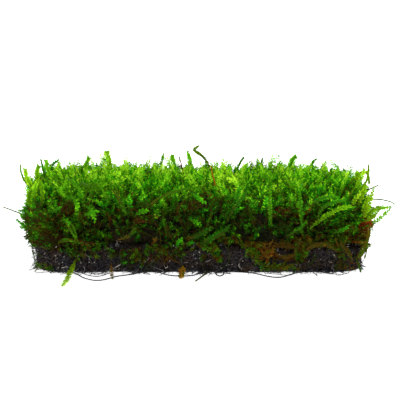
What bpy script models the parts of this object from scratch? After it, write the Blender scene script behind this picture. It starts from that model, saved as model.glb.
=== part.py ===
"""A clump of aquarium moss grown on a black fibre mat, with the thread that ties it down.

Blender 4.5 script, in metres, +Z up. The origin is the centre of the mat's flat underside. +X runs
along the clump's length and -Y is its front, where the thread lies in slack bows on the table.
"""

import math

import bmesh
import bpy
from mathutils import Vector, noise
from mathutils.bvhtree import BVHTree

MM = 0.001

# Driving sizes
MAT_LENGTH = 100 * MM
MAT_DEPTH = 50 * MM
MAT_HEIGHT = 8.5 * MM
MAT_CORNER = 9 * MM  # corner radius seen from above
MAT_FOOT_ROUND = 3 * MM  # rounding of the lower edge
MAT_TOP_ROUND = 1.5 * MM

MOSS_LENGTH = 106 * MM
MOSS_DEPTH = 54 * MM
MOSS_TOP = 27.4 * MM  # at the middle of its depth
MOSS_CORNER = 10 * MM  # corner radius seen from above
MOSS_SHIFT = -0.8 * MM  # the moss hangs a little further over the left end
MOSS_TOP_DRAW = 0.06  # how far the sides draw in towards the top, as a share of the squared width
MOSS_FOOT_DRAW = 0.08  # the same, towards the mat
MOSS_CROWN_DROP = 4.5 * MM  # how much lower the top is at the front and back edges
MOSS_END_DROP = 3.8 * MM  # the same at the two ends, where it falls away more suddenly
MOSS_LUMP = 0.8 * MM  # how far its surface swells in and out
MOSS_LUMP_SIZE = 11 * MM

GAP = 0.3 * MM  # clearance between pieces that touch
THREAD_RADIUS = 0.22 * MM
FINE_THREAD_RADIUS = 0.16 * MM
THREAD_HEIGHT = 0.24 * MM  # centreline of a thread that lies on the table

# Outer radius of each kind of shoot, leaves included
LEAFY = 0.72 * MM
SLIM = 0.42 * MM
BARE = 0.25 * MM

SHOOT_SAMPLES = 16
COLOURS = {
    "fibre": (0.012, 0.011, 0.013),
    "thread": (0.008, 0.008, 0.009),
    "moss": (0.060, 0.160, 0.010),
    "young_shoot": (0.210, 0.380, 0.020),
    "old_stem": (0.160, 0.070, 0.015),
}

# Each shoot: kind, foot inside the cushion, bend, tip, in millimetres. The foot's end stays buried.
SHOOTS = {
    "left_whisker": (BARE, (-48.0, -12.0, 13.0), (-55.0, -12.0, 16.0), (-59.2, -12.0, 17.4)),
    "left_curl": (SLIM, (-46.0, -8.0, 20.0), (-55.0, -8.0, 23.5), (-54.7, -8.0, 29.9)),
    "left_tall_frond": (LEAFY, (-46.5, -14.0, 18.5), (-51.8, -14.0, 24.0), (-52.9, -14.0, 29.6)),
    "left_corner_frond": (LEAFY, (-47.6, -6.0, 20.0), (-50.9, -6.0, 26.0), (-49.4, -6.0, 29.3)),
    "left_spike": (BARE, (-46.5, 1.5, 21.0), (-48.3, 1.5, 26.0), (-49.1, 1.5, 30.1)),
    "left_bud_frond": (SLIM, (-44.5, -6.5, 22.0), (-46.3, -6.5, 28.0), (-47.0, -6.5, 31.1)),
    "left_leaning_leaf": (SLIM, (-46.5, 5.0, 22.0), (-47.2, 5.0, 28.6), (-44.0, 5.0, 29.6)),
    "left_low_frond": (LEAFY, (-46.5, -20.5, 11.4), (-52.8, -20.5, 12.4), (-55.2, -20.5, 15.7)),
    "tall_frond_left": (LEAFY, (-25.5, 6.0, 20.0), (-27.8, 6.0, 27.0), (-28.8, 6.0, 32.0)),
    "bud_frond": (SLIM, (-36.8, 10.0, 20.0), (-36.2, 10.0, 26.5), (-34.7, 10.0, 29.6)),
    "tall_frond_middle": (LEAFY, (-0.8, 10.0, 20.0), (-2.4, 10.0, 27.5), (-3.5, 10.0, 31.5)),
    "broad_tip": (LEAFY, (-6.4, 13.0, 20.0), (-8.0, 13.0, 27.0), (-8.4, 13.0, 29.6)),
    "thin_tip": (SLIM, (-13.6, 15.0, 20.0), (-12.0, 15.0, 27.0), (-11.3, 15.0, 30.0)),
    "hooked_stem": (BARE, (5.0, 8.5, 21.0), (-3.6, 8.5, 31.0), (-0.4, 8.5, 33.0)),
    "red_tip": (BARE, (-3.6, 4.0, 20.0), (-5.2, 4.0, 28.0), (-6.2, 4.0, 31.0)),
    "orange_stem": (BARE, (7.5, -13.0, 19.0), (3.6, -13.0, 27.0), (3.7, -13.0, 31.2)),
    "curved_tip": (SLIM, (9.6, 10.0, 20.0), (12.6, 10.0, 26.0), (13.8, 10.0, 29.2)),
    "small_spike": (BARE, (18.4, 14.0, 21.0), (19.6, 14.0, 26.0), (20.0, 14.0, 28.6)),
    "leafy_head": (LEAFY, (29.6, 10.0, 20.0), (27.6, 10.0, 28.0), (30.2, 10.0, 29.9)),
    "leaning_tip": (SLIM, (33.4, 12.0, 21.0), (34.2, 12.0, 27.0), (37.0, 12.0, 28.8)),
    "right_edge_stem": (SLIM, (45.0, -1.0, 18.0), (53.2, -1.0, 21.5), (52.5, -1.0, 28.7)),
    "right_arch": (SLIM, (45.0, -6.5, 22.0), (52.0, -6.5, 32.2), (52.4, -6.5, 24.6)),
    "right_whisker": (BARE, (46.5, -10.0, 21.0), (52.0, -10.0, 22.8), (55.1, -10.0, 24.4)),
    "right_runner": (BARE, (47.0, -5.0, 18.6), (57.6, -5.0, 20.0), (60.1, -5.0, 17.2)),
    "right_fan_upper": (SLIM, (47.5, -9.0, 13.0), (54.0, -9.0, 16.6), (58.2, -9.0, 17.4)),
    "right_fan_lower": (SLIM, (47.5, -12.5, 10.0), (54.0, -12.5, 11.8), (57.8, -12.5, 17.6)),
}

# Pieces that leave the mat and lie on the table: radius, points in millimetres
LYING = {
    "trailing_shoot": (
        LEAFY,
        [
            (-37.6, -26.4, 2.9),
            (-38.3, -29.0, 1.8),
            (-38.9, -33.5, 0.9),
            (-39.4, -41.0, 0.8),
            (-39.9, -48.8, 0.8),
        ],
    ),
    "fallen_stem": (BARE, [(2.5, -26.4, 0.3), (0.6, -32.3, 0.3), (-1.1, -38.3, 0.3)]),
    "brown_sprig": (
        BARE,
        [(-26.4, -26.0, 2.2), (-26.1, -30.0, 1.2), (-25.9, -33.0, 0.9), (-25.6, -36.2, 0.4)],
    ),
    "gold_leaf": (
        SLIM,
        [(-5.0, -26.2, 1.6), (-5.2, -30.4, 1.3), (-5.5, -33.8, 0.85), (-5.6, -36.4, 0.5)],
    ),
    "corner_sprig": (SLIM, [(47.6, -22.6, 3.6), (48.3, -23.9, 2.2), (48.6, -24.9, 0.6)]),
}

# The binding thread's way round the mat on the table, in millimetres: front, right end, back, left end
THREAD_ROUTE = [
    (-42.0, -24.3), (-38.9, -24.8), (-36.6, -28.3), (-34.3, -33.4), (-31.2, -36.8), (-28.5, -36.2),
    (-26.2, -33.2), (-24.0, -30.6), (-21.4, -28.9), (-18.6, -25.8), (-15.4, -24.5), (-12.3, -25.4),
    (-10.2, -28.4), (-7.8, -30.2), (-4.8, -30.7), (-2.0, -29.8), (0.6, -26.6), (4.0, -24.6),
    (10.5, -24.5), (14.7, -25.6), (17.5, -27.6), (19.9, -30.5), (22.8, -32.6), (25.2, -31.6),
    (27.6, -28.2), (30.2, -25.2), (34.0, -24.4), (40.0, -24.4), (46.0, -22.3), (48.9, -17.4),
    (49.3, -11.0), (49.2, 0.0), (50.4, 9.0), (48.4, 17.6), (44.9, 23.1), (38.0, 24.6),
    (30.0, 27.5), (22.0, 28.6), (14.0, 26.0), (6.0, 24.6), (-4.0, 26.8), (-12.0, 27.9),
    (-20.0, 25.4), (-30.0, 24.5), (-38.0, 25.4), (-45.6, 22.7), (-48.8, 17.4), (-49.4, 10.0),
    (-50.6, 0.0), (-49.4, -11.0), (-47.6, -20.7),
]
THREAD_STEPS = 3  # points between two of the route's

FINE_ROUTE = [(-35.2, -26.2), (-33.2, -29.6), (-30.6, -31.2), (-28.4, -29.2), (-27.0, -25.8)]
LOOP_ROUTE = [(5.2, -25.4), (5.2, -28.6), (6.2, -30.6), (7.3, -28.4), (7.4, -25.4)]


def clear_scene():
    for obj in list(bpy.data.objects):
        bpy.data.objects.remove(obj)


def make_material(name, roughness):
    made = bpy.data.materials.new(name)
    made.use_nodes = True
    surface = made.node_tree.nodes["Principled BSDF"]
    surface.inputs["Base Color"].default_value = (*COLOURS[name], 1)
    surface.inputs["Roughness"].default_value = roughness
    surface.inputs["Metallic"].default_value = 0
    return made


def add_object(name, data, material, collection):
    obj = bpy.data.objects.new(name, data)
    data.materials.append(material)
    collection.objects.link(obj)
    return obj


def smooth_route(points, steps, closed):
    """Points along the Catmull-Rom curve through the given ones."""
    count = len(points)
    found = []
    for i in range(count if closed else count - 1):
        if closed:
            a, b, c, d = (points[(i + k) % count] for k in (-1, 0, 1, 2))
        else:
            a, b, c, d = (points[min(max(i + k, 0), count - 1)] for k in (-1, 0, 1, 2))
        for step in range(steps):
            t = step / steps
            square = (2 * a - 5 * b + 4 * c - d) * t**2
            cube = (3 * b - a - 3 * c + d) * t**3
            found.append(0.5 * (2 * b + (c - a) * t + square + cube))
    return found if closed else [*found, points[-1]]


def make_tube(name, points, radii, material, collection, closed=False):
    """A round tube whose radius follows the list, closed on itself or with filled caps."""
    curve = bpy.data.curves.new(name, "CURVE")
    curve.dimensions = "3D"
    curve.bevel_depth = 1.0
    curve.bevel_resolution = 1
    curve.use_fill_caps = not closed
    spline = curve.splines.new("POLY")
    spline.points.add(len(points) - 1)
    for point, place, radius in zip(spline.points, points, radii):
        point.co = (*place, 1)
        point.radius = radius
    spline.use_cyclic_u = closed
    return add_object(name, curve, material, collection)


def shoot_radii(count, radius):
    """Slim at the foot, full along the shoot and closing to a blunt tip."""
    found = []
    for i in range(count):
        t = i / max(count - 1, 1)
        swell = min(1.0, 0.55 + 2.2 * t)
        close = min(1.0, 0.35 + 3.2 * (1 - t))
        found.append(radius * swell * close)
    return found


def make_mat(material, collection):
    """The fibre mat: a block with round corners, a flat underside and a rounded foot."""
    mesh = bpy.data.meshes.new("fibre_mat")
    shape = bmesh.new()
    bmesh.ops.create_cube(shape, size=1.0)
    bmesh.ops.scale(shape, vec=(MAT_LENGTH, MAT_DEPTH, MAT_HEIGHT), verts=shape.verts)
    bmesh.ops.translate(shape, vec=(0, 0, MAT_HEIGHT / 2), verts=shape.verts)

    def upright(edge):
        a, b = (v.co for v in edge.verts)
        return abs(a.z - b.z) > MAT_HEIGHT / 2

    def level(height):
        return [e for e in shape.edges if all(abs(v.co.z - height) < 1e-6 for v in e.verts)]

    def round_off(edges, radius, segments):
        bmesh.ops.bevel(shape, geom=edges, offset=radius, segments=segments, profile=0.5, affect="EDGES")

    round_off([e for e in shape.edges if upright(e)], MAT_CORNER, 6)
    round_off(level(0), MAT_FOOT_ROUND, 4)
    round_off(level(MAT_HEIGHT), MAT_TOP_ROUND, 2)
    shape.to_mesh(mesh)
    shape.free()
    return add_object("fibre_mat", mesh, material, collection)


def round_corner(u, v, share_u, share_v):
    """A point of the square from -1 to 1, with its corners turned into quarters of an ellipse."""
    a = max(0.0, (abs(u) - 1 + share_u) / share_u)
    b = max(0.0, (abs(v) - 1 + share_v) / share_v)
    if a and b:
        u = math.copysign(1 - share_u + share_u * a * math.sqrt(1 - b * b / 2), u)
        v = math.copysign(1 - share_v + share_v * b * math.sqrt(1 - a * a / 2), v)
    return u, v


def make_cushion(material, collection):
    """The moss as one closed body that reaches the shoots' tips: a block with swollen, lumpy sides."""
    mesh = bpy.data.meshes.new("moss_cushion")
    shape = bmesh.new()
    bmesh.ops.create_cube(shape, size=2.0)
    for axis, cuts in ((0, 21), (1, 11), (2, 4)):
        along = [e for e in shape.edges if abs(e.verts[0].co[axis] - e.verts[1].co[axis]) > 1e-6]
        bmesh.ops.subdivide_edges(shape, edges=along, cuts=cuts, use_grid_fill=True)

    bottom = MAT_HEIGHT + GAP + MOSS_LUMP
    half_height = (MOSS_TOP - bottom) / 2
    for vert in shape.verts:
        u, v = round_corner(vert.co.x, vert.co.y, 2 * MOSS_CORNER / MOSS_LENGTH, 2 * MOSS_CORNER / MOSS_DEPTH)
        w = vert.co.z
        waist = math.sqrt(1 - (MOSS_TOP_DRAW if w > 0 else MOSS_FOOT_DRAW) * w**4)
        drop = MOSS_CROWN_DROP * abs(v) ** 2.4 + MOSS_END_DROP * abs(u) ** 12
        vert.co = (
            MOSS_SHIFT + u * waist * MOSS_LENGTH / 2,
            v * waist * MOSS_DEPTH / 2,
            bottom + (half_height - drop / 2) * (1 + w),
        )
    shape.normal_update()
    for vert in shape.verts:
        vert.co += vert.normal * MOSS_LUMP * noise.fractal(vert.co / MOSS_LUMP_SIZE, 1.0, 2.0, 2)
    shape.to_mesh(mesh)
    shape.free()
    mesh.shade_smooth()
    return add_object("moss_cushion", mesh, material, collection)


def clear_of(tree, points, distance):
    """The points from the last back to the first one nearer to the body than distance, in order."""
    kept = []
    for point in reversed(points):
        place, normal, _, away = tree.find_nearest(point)
        if (point - place).dot(normal) < 0 or away < distance:
            break
        kept.append(point)
    return kept[::-1]


def make_shoot(name, cushion_tree, materials, collection):
    """A shoot along a quadratic curve from its buried foot to its tip, starting clear of the cushion."""
    radius, *stations = SHOOTS[name]
    foot, bend, tip = (Vector(p) * MM for p in stations)
    line = []
    for i in range(SHOOT_SAMPLES + 1):
        t = i / SHOOT_SAMPLES
        line.append(foot * (1 - t) ** 2 + bend * 2 * t * (1 - t) + tip * t**2)
    line = clear_of(cushion_tree, line, radius + GAP)
    material = materials["old_stem" if radius == BARE else "young_shoot"]
    return make_tube(name, line, shoot_radii(len(line), radius), material, collection)


def make_lying(name, materials, collection):
    """A shoot or stem that comes out of the mat and lies on the table."""
    radius, stations = LYING[name]
    line = smooth_route([Vector(p) * MM for p in stations], 3, closed=False)
    material = materials["old_stem" if radius == BARE or name == "gold_leaf" else "young_shoot"]
    return make_tube(name, line, shoot_radii(len(line), radius), material, collection)


def make_thread(name, route, radius, material, collection, closed):
    line = smooth_route([Vector((x, y, 0)) * MM for x, y in route], THREAD_STEPS, closed)
    line = [Vector((p.x, p.y, THREAD_HEIGHT)) for p in line]
    return make_tube(name, line, [radius] * len(line), material, collection, closed)


def main():
    clear_scene()
    collection = bpy.data.collections.new("moss_clump")
    bpy.context.scene.collection.children.link(collection)
    materials = {name: make_material(name, 0.75) for name in COLOURS}

    make_mat(materials["fibre"], collection)
    cushion = make_cushion(materials["moss"], collection)
    bpy.context.view_layer.update()
    cushion_tree = BVHTree.FromObject(cushion, bpy.context.evaluated_depsgraph_get())

    for name in SHOOTS:
        make_shoot(name, cushion_tree, materials, collection)
    for name in LYING:
        make_lying(name, materials, collection)

    thread = materials["thread"]
    make_thread("binding_thread", THREAD_ROUTE, THREAD_RADIUS, thread, collection, closed=True)
    make_thread("fine_thread", FINE_ROUTE, FINE_THREAD_RADIUS, thread, collection, closed=False)
    make_thread("thread_loop", LOOP_ROUTE, THREAD_RADIUS, thread, collection, closed=False)


main()
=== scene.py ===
import math

import bpy
import numpy as np
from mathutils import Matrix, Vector


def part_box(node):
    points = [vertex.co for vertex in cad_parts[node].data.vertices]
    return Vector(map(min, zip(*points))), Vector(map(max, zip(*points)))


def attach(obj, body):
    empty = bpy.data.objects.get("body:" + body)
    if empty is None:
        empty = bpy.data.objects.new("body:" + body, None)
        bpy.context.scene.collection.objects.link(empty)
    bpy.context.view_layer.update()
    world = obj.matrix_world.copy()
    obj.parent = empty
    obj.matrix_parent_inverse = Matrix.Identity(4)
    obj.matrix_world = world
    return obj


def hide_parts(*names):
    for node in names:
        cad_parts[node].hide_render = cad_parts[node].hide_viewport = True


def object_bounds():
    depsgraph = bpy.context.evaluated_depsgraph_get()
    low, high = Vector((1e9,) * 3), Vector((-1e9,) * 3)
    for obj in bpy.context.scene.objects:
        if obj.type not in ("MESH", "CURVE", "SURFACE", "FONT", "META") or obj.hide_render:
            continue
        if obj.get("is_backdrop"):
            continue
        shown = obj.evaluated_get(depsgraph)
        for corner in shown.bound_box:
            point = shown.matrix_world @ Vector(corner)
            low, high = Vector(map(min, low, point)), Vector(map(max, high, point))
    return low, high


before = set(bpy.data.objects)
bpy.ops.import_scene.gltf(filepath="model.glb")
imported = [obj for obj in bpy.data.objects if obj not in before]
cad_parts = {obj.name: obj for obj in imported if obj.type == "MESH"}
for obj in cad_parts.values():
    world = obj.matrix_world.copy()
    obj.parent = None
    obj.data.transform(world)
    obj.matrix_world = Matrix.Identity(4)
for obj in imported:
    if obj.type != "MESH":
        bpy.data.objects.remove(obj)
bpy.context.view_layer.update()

# A clump of aquarium moss on a black fibre mat, tied down with thread.
# Every length below is in metres; mm turns millimetres into them.
mm = 0.001
up = np.array([0.0, 0.0, 1.0])


# a line of progress
def say(*words):
    print("MOSS", *words, flush=True)


# each vector divided by its own length
def unit(v):
    return v / np.maximum(np.linalg.norm(v, axis=-1, keepdims=True), 1e-12)


# rows of numbers times rows of vectors
def scaled(numbers, vectors):
    return numbers[..., None] * vectors


# the part of each vector v at right angles to a way w, made 1 long: v - (v.w)w
def squareTo(ways, vectors):
    return unit(vectors - scaled((vectors * ways).sum(-1), ways))


# the value at a share of the way from the first of two to the second
def between(ends, share):
    return ends[0] + share * (ends[1] - ends[0])


# a smooth field from -1 to 1: waves in random directions, each about one patch long, added up
def patches(points, size, seed):
    rng = np.random.default_rng(seed)
    waves = unit(rng.normal(size=(9, 3))) * (2 * math.pi / size) * rng.uniform(0.6, 1.5, (9, 1))
    total = np.sin(points @ waves.T + rng.uniform(0, 2 * math.pi, 9)).sum(-1)
    return np.clip(total / 3.6, -1, 1)


# the sum of four control points, weighted (1-t)^3, 3t(1-t)^2, 3t^2(1-t) and t^3, for path number i at t
def onPath(paths, i, t):
    k = 1 - t
    weights = np.stack([k**3, 3 * t * k**2, 3 * t**2 * k, t**3], -1)
    return np.einsum("nk,nkd->nd", weights, paths[i])


# the direction of travel there, from the derivative of that sum
def alongPath(paths, i, t):
    k = 1 - t
    steps = paths[i][:, 1:] - paths[i][:, :-1]
    weights = np.stack([k**2, 2 * t * k, t**2], -1)
    return unit(np.einsum("nk,nkd->nd", weights, steps))


# four control points that pass through a root, a middle place and a tip
def pathThrough(stations):
    p = np.array(stations, float) * mm
    if len(p) == 3:
        mid = 2 * p[1] - (p[0] + p[2]) / 2
        return np.array([p[0], p[0] + (mid - p[0]) * 2 / 3, p[2] + (mid - p[2]) * 2 / 3, p[2]])
    first = (-5 * p[0] + 18 * p[1] - 9 * p[2] + 2 * p[3]) / 6
    second = (2 * p[0] - 9 * p[1] + 18 * p[2] - 5 * p[3]) / 6
    return np.array([p[0], first, second, p[3]])


# length of each path, from the straight steps between nine points on it
def pathLengths(paths):
    n = len(paths)
    marks = np.linspace(0, 1, 9)
    found = np.stack([onPath(paths, np.arange(n), np.full(n, m)) for m in marks], 1)
    return np.linalg.norm(np.diff(found, axis=1), axis=2).sum(1)


# one mesh from points, faces of one kind and a map place for each face corner
def meshOf(name, points, faces, places=None, smooth=False):
    mesh = bpy.data.meshes.new(name)
    corners = faces.shape[1]
    mesh.vertices.add(len(points))
    mesh.vertices.foreach_set("co", points.astype(np.float32).ravel())
    mesh.loops.add(faces.size)
    mesh.loops.foreach_set("vertex_index", faces.astype(np.int32).ravel())
    mesh.polygons.add(len(faces))
    mesh.polygons.foreach_set("loop_start", np.arange(0, faces.size, corners, dtype=np.int32))
    mesh.polygons.foreach_set("use_smooth", np.full(len(faces), smooth))
    mesh.update(calc_edges=True)
    if places is not None:
        layer = mesh.uv_layers.new(name="OFBake")
        layer.uv.foreach_set("vector", places.astype(np.float32).ravel())
    mesh.validate()
    return mesh


# several (points, faces, places) sets as one, with the later faces' numbers moved up
def joined(sets):
    starts = np.cumsum([0] + [len(s[0]) for s in sets[:-1]])
    return (
        np.concatenate([s[0] for s in sets]),
        np.concatenate([s[1] + start for s, start in zip(sets, starts)]),
        np.concatenate([s[2] for s in sets]),
    )


# two triangles for each cell of a grid of point numbers whose rows close on themselves
def wallsOf(grid):
    a, d = grid[..., :-1, :], grid[..., 1:, :]
    b, c = np.roll(a, -1, -1), np.roll(d, -1, -1)
    return np.stack([a, b, c, a, c, d], -1).reshape(-1, 3)


# a triangle from a point to each edge of a closed ring of point numbers
def fanOf(point, ring):
    return np.stack([np.broadcast_to(point, ring.shape), np.roll(ring, -1, -1), ring], -1).reshape(-1, 3)


# a mesh as one piece of the part, with its material, its slot and the CAD node it stands in for
def addPiece(name, mesh, material, node):
    piece = bpy.data.objects.new(name, mesh)
    bpy.context.scene.collection.objects.link(piece)
    mesh.materials.append(material)
    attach(piece, "root")
    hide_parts(node)
    say(name, len(mesh.polygons), "faces")


# the same from several sets, with no point below the lowest height
def addGrowth(name, sets, material, node, lowest):
    points, faces, places = joined(sets)
    points[:, 2] = np.maximum(points[:, 2], lowest)
    addPiece(name, meshOf(name, points, faces, places), material, node)


# leftTallFrond is the piece of left_tall_frond
def nodeOf(name):
    return "".join("_" + letter.lower() if letter.isupper() else letter for letter in name)


# the place on the colour map: across is age, from old at 0 to young at 1, which in places also carries painted shade
# and light; up is how warm the colour is
def mapPlace(age, warmth):
    return np.stack([np.clip(age, 0.01, 0.99), np.clip(warmth, 0.01, 0.99)], -1)


# How leaves are shared out on paths: one every spacing above the bare foot. For each leaf, its path's number, its own
# number on the path, its share of the way up the leafy part, and the place t there; then the leaves on each path.
def leafPlaces(paths, look):
    counts = np.maximum((pathLengths(paths) * (1 - look["begin"]) / look["spacing"]).astype(int), 3)
    path = np.repeat(np.arange(len(paths)), counts)
    order = np.arange(len(path)) - np.repeat(np.cumsum(counts) - counts, counts)
    share = (order + 0.5) / np.repeat(counts, counts)
    return path, order, share, look["begin"] + (1 - look["begin"]) * share, counts


# a leaf's foot, and three directions there: along its path, out from it at an angle round it, and square to both
def leafFrame(paths, planes, i, at, turn):
    along = alongPath(paths, i, at)
    side = squareTo(along, planes[i])
    face = np.cross(along, side)
    out = scaled(np.cos(turn), side) + scaled(np.sin(turn), face)
    return onPath(paths, i, at), along, out, scaled(-np.sin(turn), side) + scaled(np.cos(turn), face)


# Small leaves in rows up each path. A leaf leaves at an angle that closes towards the tip, is a folded lozenge of two
# triangles, and its size swells from the foot and shrinks at the tip.
smallLeaf = {
    "footSize": (0.55, 1.8),  # size at the foot, and how fast it grows from there
    "tipSize": (0.50, 1.7),  # the same from the tip down
    "close": 0.62,
    "middle": 0.42,
    "fold": 0.22,
    "vary": {"turn": 0.22, "angle": 0.13, "tilt": 0.35, "droop": 0.10, "warmth": 0.04},
}


def leafRows(paths, planes, ages, warmths, look, seed):
    rng = np.random.default_rng(seed)
    vary = smallLeaf["vary"]
    path, order, share, t, counts = leafPlaces(paths, look)
    tipGain = np.broadcast_to(look["tipGain"], len(paths))
    sets = []
    for row in look["rows"]:
        keep = np.flatnonzero(order % row["every"] == row["phase"])
        i, s = path[keep], share[keep]
        n = len(i)
        jog = rng.uniform(-0.5, 0.5, n) / counts[i]
        at = np.clip(t[keep] + jog * 0.6, 0, 1)
        turn = math.radians(row["turn"]) + rng.normal(0, vary["turn"], n)
        base, along, out, flat = leafFrame(paths, planes, i, at, turn)
        angle = np.radians(look["angle"]) * (1 - smallLeaf["close"] * s**3) + rng.normal(0, vary["angle"], n)
        away = scaled(np.cos(angle), along) + scaled(np.sin(angle), out)
        (foot, growth), (end, shrink) = smallLeaf["footSize"], smallLeaf["tipSize"]
        swell = np.minimum(1, foot + growth * s) * np.minimum(1, end + shrink * (1 - s))
        size = look["length"] * row["size"] * swell * rng.uniform(0.8, 1.15, n) * look["scale"][i]
        wide = look["width"] * size / look["length"] * rng.uniform(0.85, 1.15, n)
        tilt = rng.normal(0, vary["tilt"], n)
        across = unit(np.cross(away, flat))
        across, flat = (
            scaled(np.cos(tilt), across) + scaled(np.sin(tilt), flat),
            scaled(np.cos(tilt), flat) - scaled(np.sin(tilt), across),
        )
        droop = rng.normal(look["droop"], vary["droop"], n)
        middle = base + scaled(smallLeaf["middle"] * size, away)
        fold = scaled(smallLeaf["fold"] * wide, flat)
        age = ages[i] + look["ageGain"] * at + tipGain[i] * np.clip((s - 0.78) / 0.22, 0, 1)
        age = age + rng.normal(0, look["ageSpread"], n)
        warmth = warmths[i] + rng.normal(0, vary["warmth"], n)
        tip = base + scaled(size, away) + scaled(droop * size, flat)
        left = middle + scaled(wide / 2, across) + fold
        right = middle - scaled(wide / 2, across) + fold
        points = np.stack([base, left, tip, right], 1).reshape(-1, 3)
        faces = (np.arange(n)[:, None, None] * 4 + np.array([[0, 1, 2], [0, 2, 3]])).reshape(-1, 3)
        # each leaf darker at its foot and lighter at its tip: painted shade and light, carried on the map's age
        ageAt = age[:, None] + np.array([-0.05, 0.0, 0.07, 0.0])
        warmAt = warmth[:, None] + np.array([0.0, 0.03, 0.0, -0.03])
        places = mapPlace(ageAt, warmAt).reshape(-1, 2)[faces]
        sets.append((points, faces, places))
    return joined(sets)


# A tube round each path: rings of points at evenly spaced t, on a circle whose radius tapers from thick to thin,
# closed at each end with a point
def tubes(paths, planes, thick, thin, ages, warmths, rings, sides, ageGain=0.0):
    n = len(paths)
    marks = np.linspace(0, 1, rings)
    number = np.repeat(np.arange(n), rings)
    t = np.tile(marks, n)
    centre = onPath(paths, number, t)
    along = alongPath(paths, number, np.clip(t, 0.001, 0.999))
    side = squareTo(along, planes[number])
    face = np.cross(along, side)
    radius = thick[number] * (1 - t) + thin[number] * t
    turn = np.arange(sides) * 2 * math.pi / sides
    ring = centre[:, None] + radius[:, None, None] * (
        np.cos(turn)[None, :, None] * side[:, None] + np.sin(turn)[None, :, None] * face[:, None]
    )
    ends = np.stack([onPath(paths, np.arange(n), np.zeros(n)), onPath(paths, np.arange(n), np.ones(n))], 1)
    points = np.concatenate([ring.reshape(-1, 3), ends.reshape(-1, 3)])
    grid = np.arange(n * rings * sides).reshape(n, rings, sides)
    foot = len(ring) * sides + np.arange(n)[:, None] * 2
    faces = np.concatenate([wallsOf(grid), fanOf(foot, grid[:, 0]), fanOf(foot + 1, grid[:, -1])[:, [0, 2, 1]]])
    # each point's place on the map; a wedge's third corner is set aside so that no face is flat on the map
    age = (ages[:, None] + ageGain * marks)[:, :, None] + 0.02 * np.cos(turn)
    warm = warmths[:, None, None] + 0.03 * np.sin(turn) + 0 * age
    ageEnds = np.stack([ages - 0.03, ages + ageGain + 0.03], 1).reshape(-1)
    warmEnds = np.repeat(warmths, 2)
    placeOf = mapPlace(np.concatenate([age.reshape(-1), ageEnds]), np.concatenate([warm.reshape(-1), warmEnds]))
    return points, faces, placeOf[faces]


# side branches: each leaves its shoot at a share of the way up, at 45 degrees, and bends back to the shoot's own way
def branchesOf(paths, planes, chance, reach, seed):
    rng = np.random.default_rng(seed)
    found = []
    for hand in (1, -1):
        chosen = np.flatnonzero(rng.random(len(paths)) < chance)
        t = rng.uniform(0.45, 0.82, len(chosen))
        start = onPath(paths, chosen, t)
        along = alongPath(paths, chosen, t)
        side = squareTo(along, planes[chosen]) * hand
        length = rng.uniform(*reach, len(chosen))
        out = unit(along + side * rng.uniform(0.6, 1.3, (len(chosen), 1)) + rng.normal(0, 0.15, along.shape))
        end = start + scaled(length, unit(out + 0.45 * along))
        found.append(
            (np.stack([start, start + scaled(length * 0.33, out), start + scaled(length * 0.7, out), end], 1), chosen)
        )
    return np.concatenate([f[0] for f in found]), np.concatenate([f[1] for f in found])


# a #rrggbb colour in linear light: c/12.92 below 0.04045, else ((c+0.055)/1.055)^2.4
def linear(hexColour, alpha=1.0):
    parts = [int(hexColour[k : k + 2], 16) / 255 for k in (1, 3, 5)]
    return (*[c / 12.92 if c <= 0.04045 else ((c + 0.055) / 1.055) ** 2.4 for c in parts], alpha)


# adds a node, sets its fields, inputs and colour stops, and links other nodes' outputs to its inputs
def addNode(tree, kind, fields=None, inputs=None, links=None, stops=None):
    node = tree.nodes.new(kind)
    for key, value in (fields or {}).items():
        setattr(node, key, value)
    for key, value in (inputs or {}).items():
        node.inputs[key].default_value = value
    for key, (source, socket) in (links or {}).items():
        tree.links.new(source.outputs[socket], node.inputs[key])
    while stops and len(node.color_ramp.elements) < len(stops):
        node.color_ramp.elements.new(0.5)
    for element, (place, colour) in zip(node.color_ramp.elements if stops else [], stops or []):
        element.position = place
        element.color = linear(colour)
    return node


# a node material with nothing in it yet, and its tree
def newMaterial(name):
    material = bpy.data.materials.new(name)
    material.use_nodes = True
    material.node_tree.nodes.clear()
    return material, material.node_tree


# Living moss leaf: one cell thick, wet, so light comes through it and its rims glow. The map's age gives the
# colour from dead brown to fresh tip, and its warmth how yellow the green is.
leafColours = {
    "cool": [
        (0.0, "#2a1c10"), (0.2, "#2c3812"), (0.4, "#1a560f"), (0.6, "#1c9212"), (0.8, "#58d012"), (1.0, "#b4f42a"),
    ],
    "warm": [
        (0.0, "#862408"), (0.14, "#c4841e"), (0.25, "#7c6612"), (0.45, "#648010"), (0.7, "#90bc0c"), (1.0, "#e0f444"),
    ],
    "roughness": [(0.0, "#c8c8c8"), (0.5, "#a0a0a0"), (1.0, "#8c8c8c")],
    "lightThrough": 0.42,
}


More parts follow.
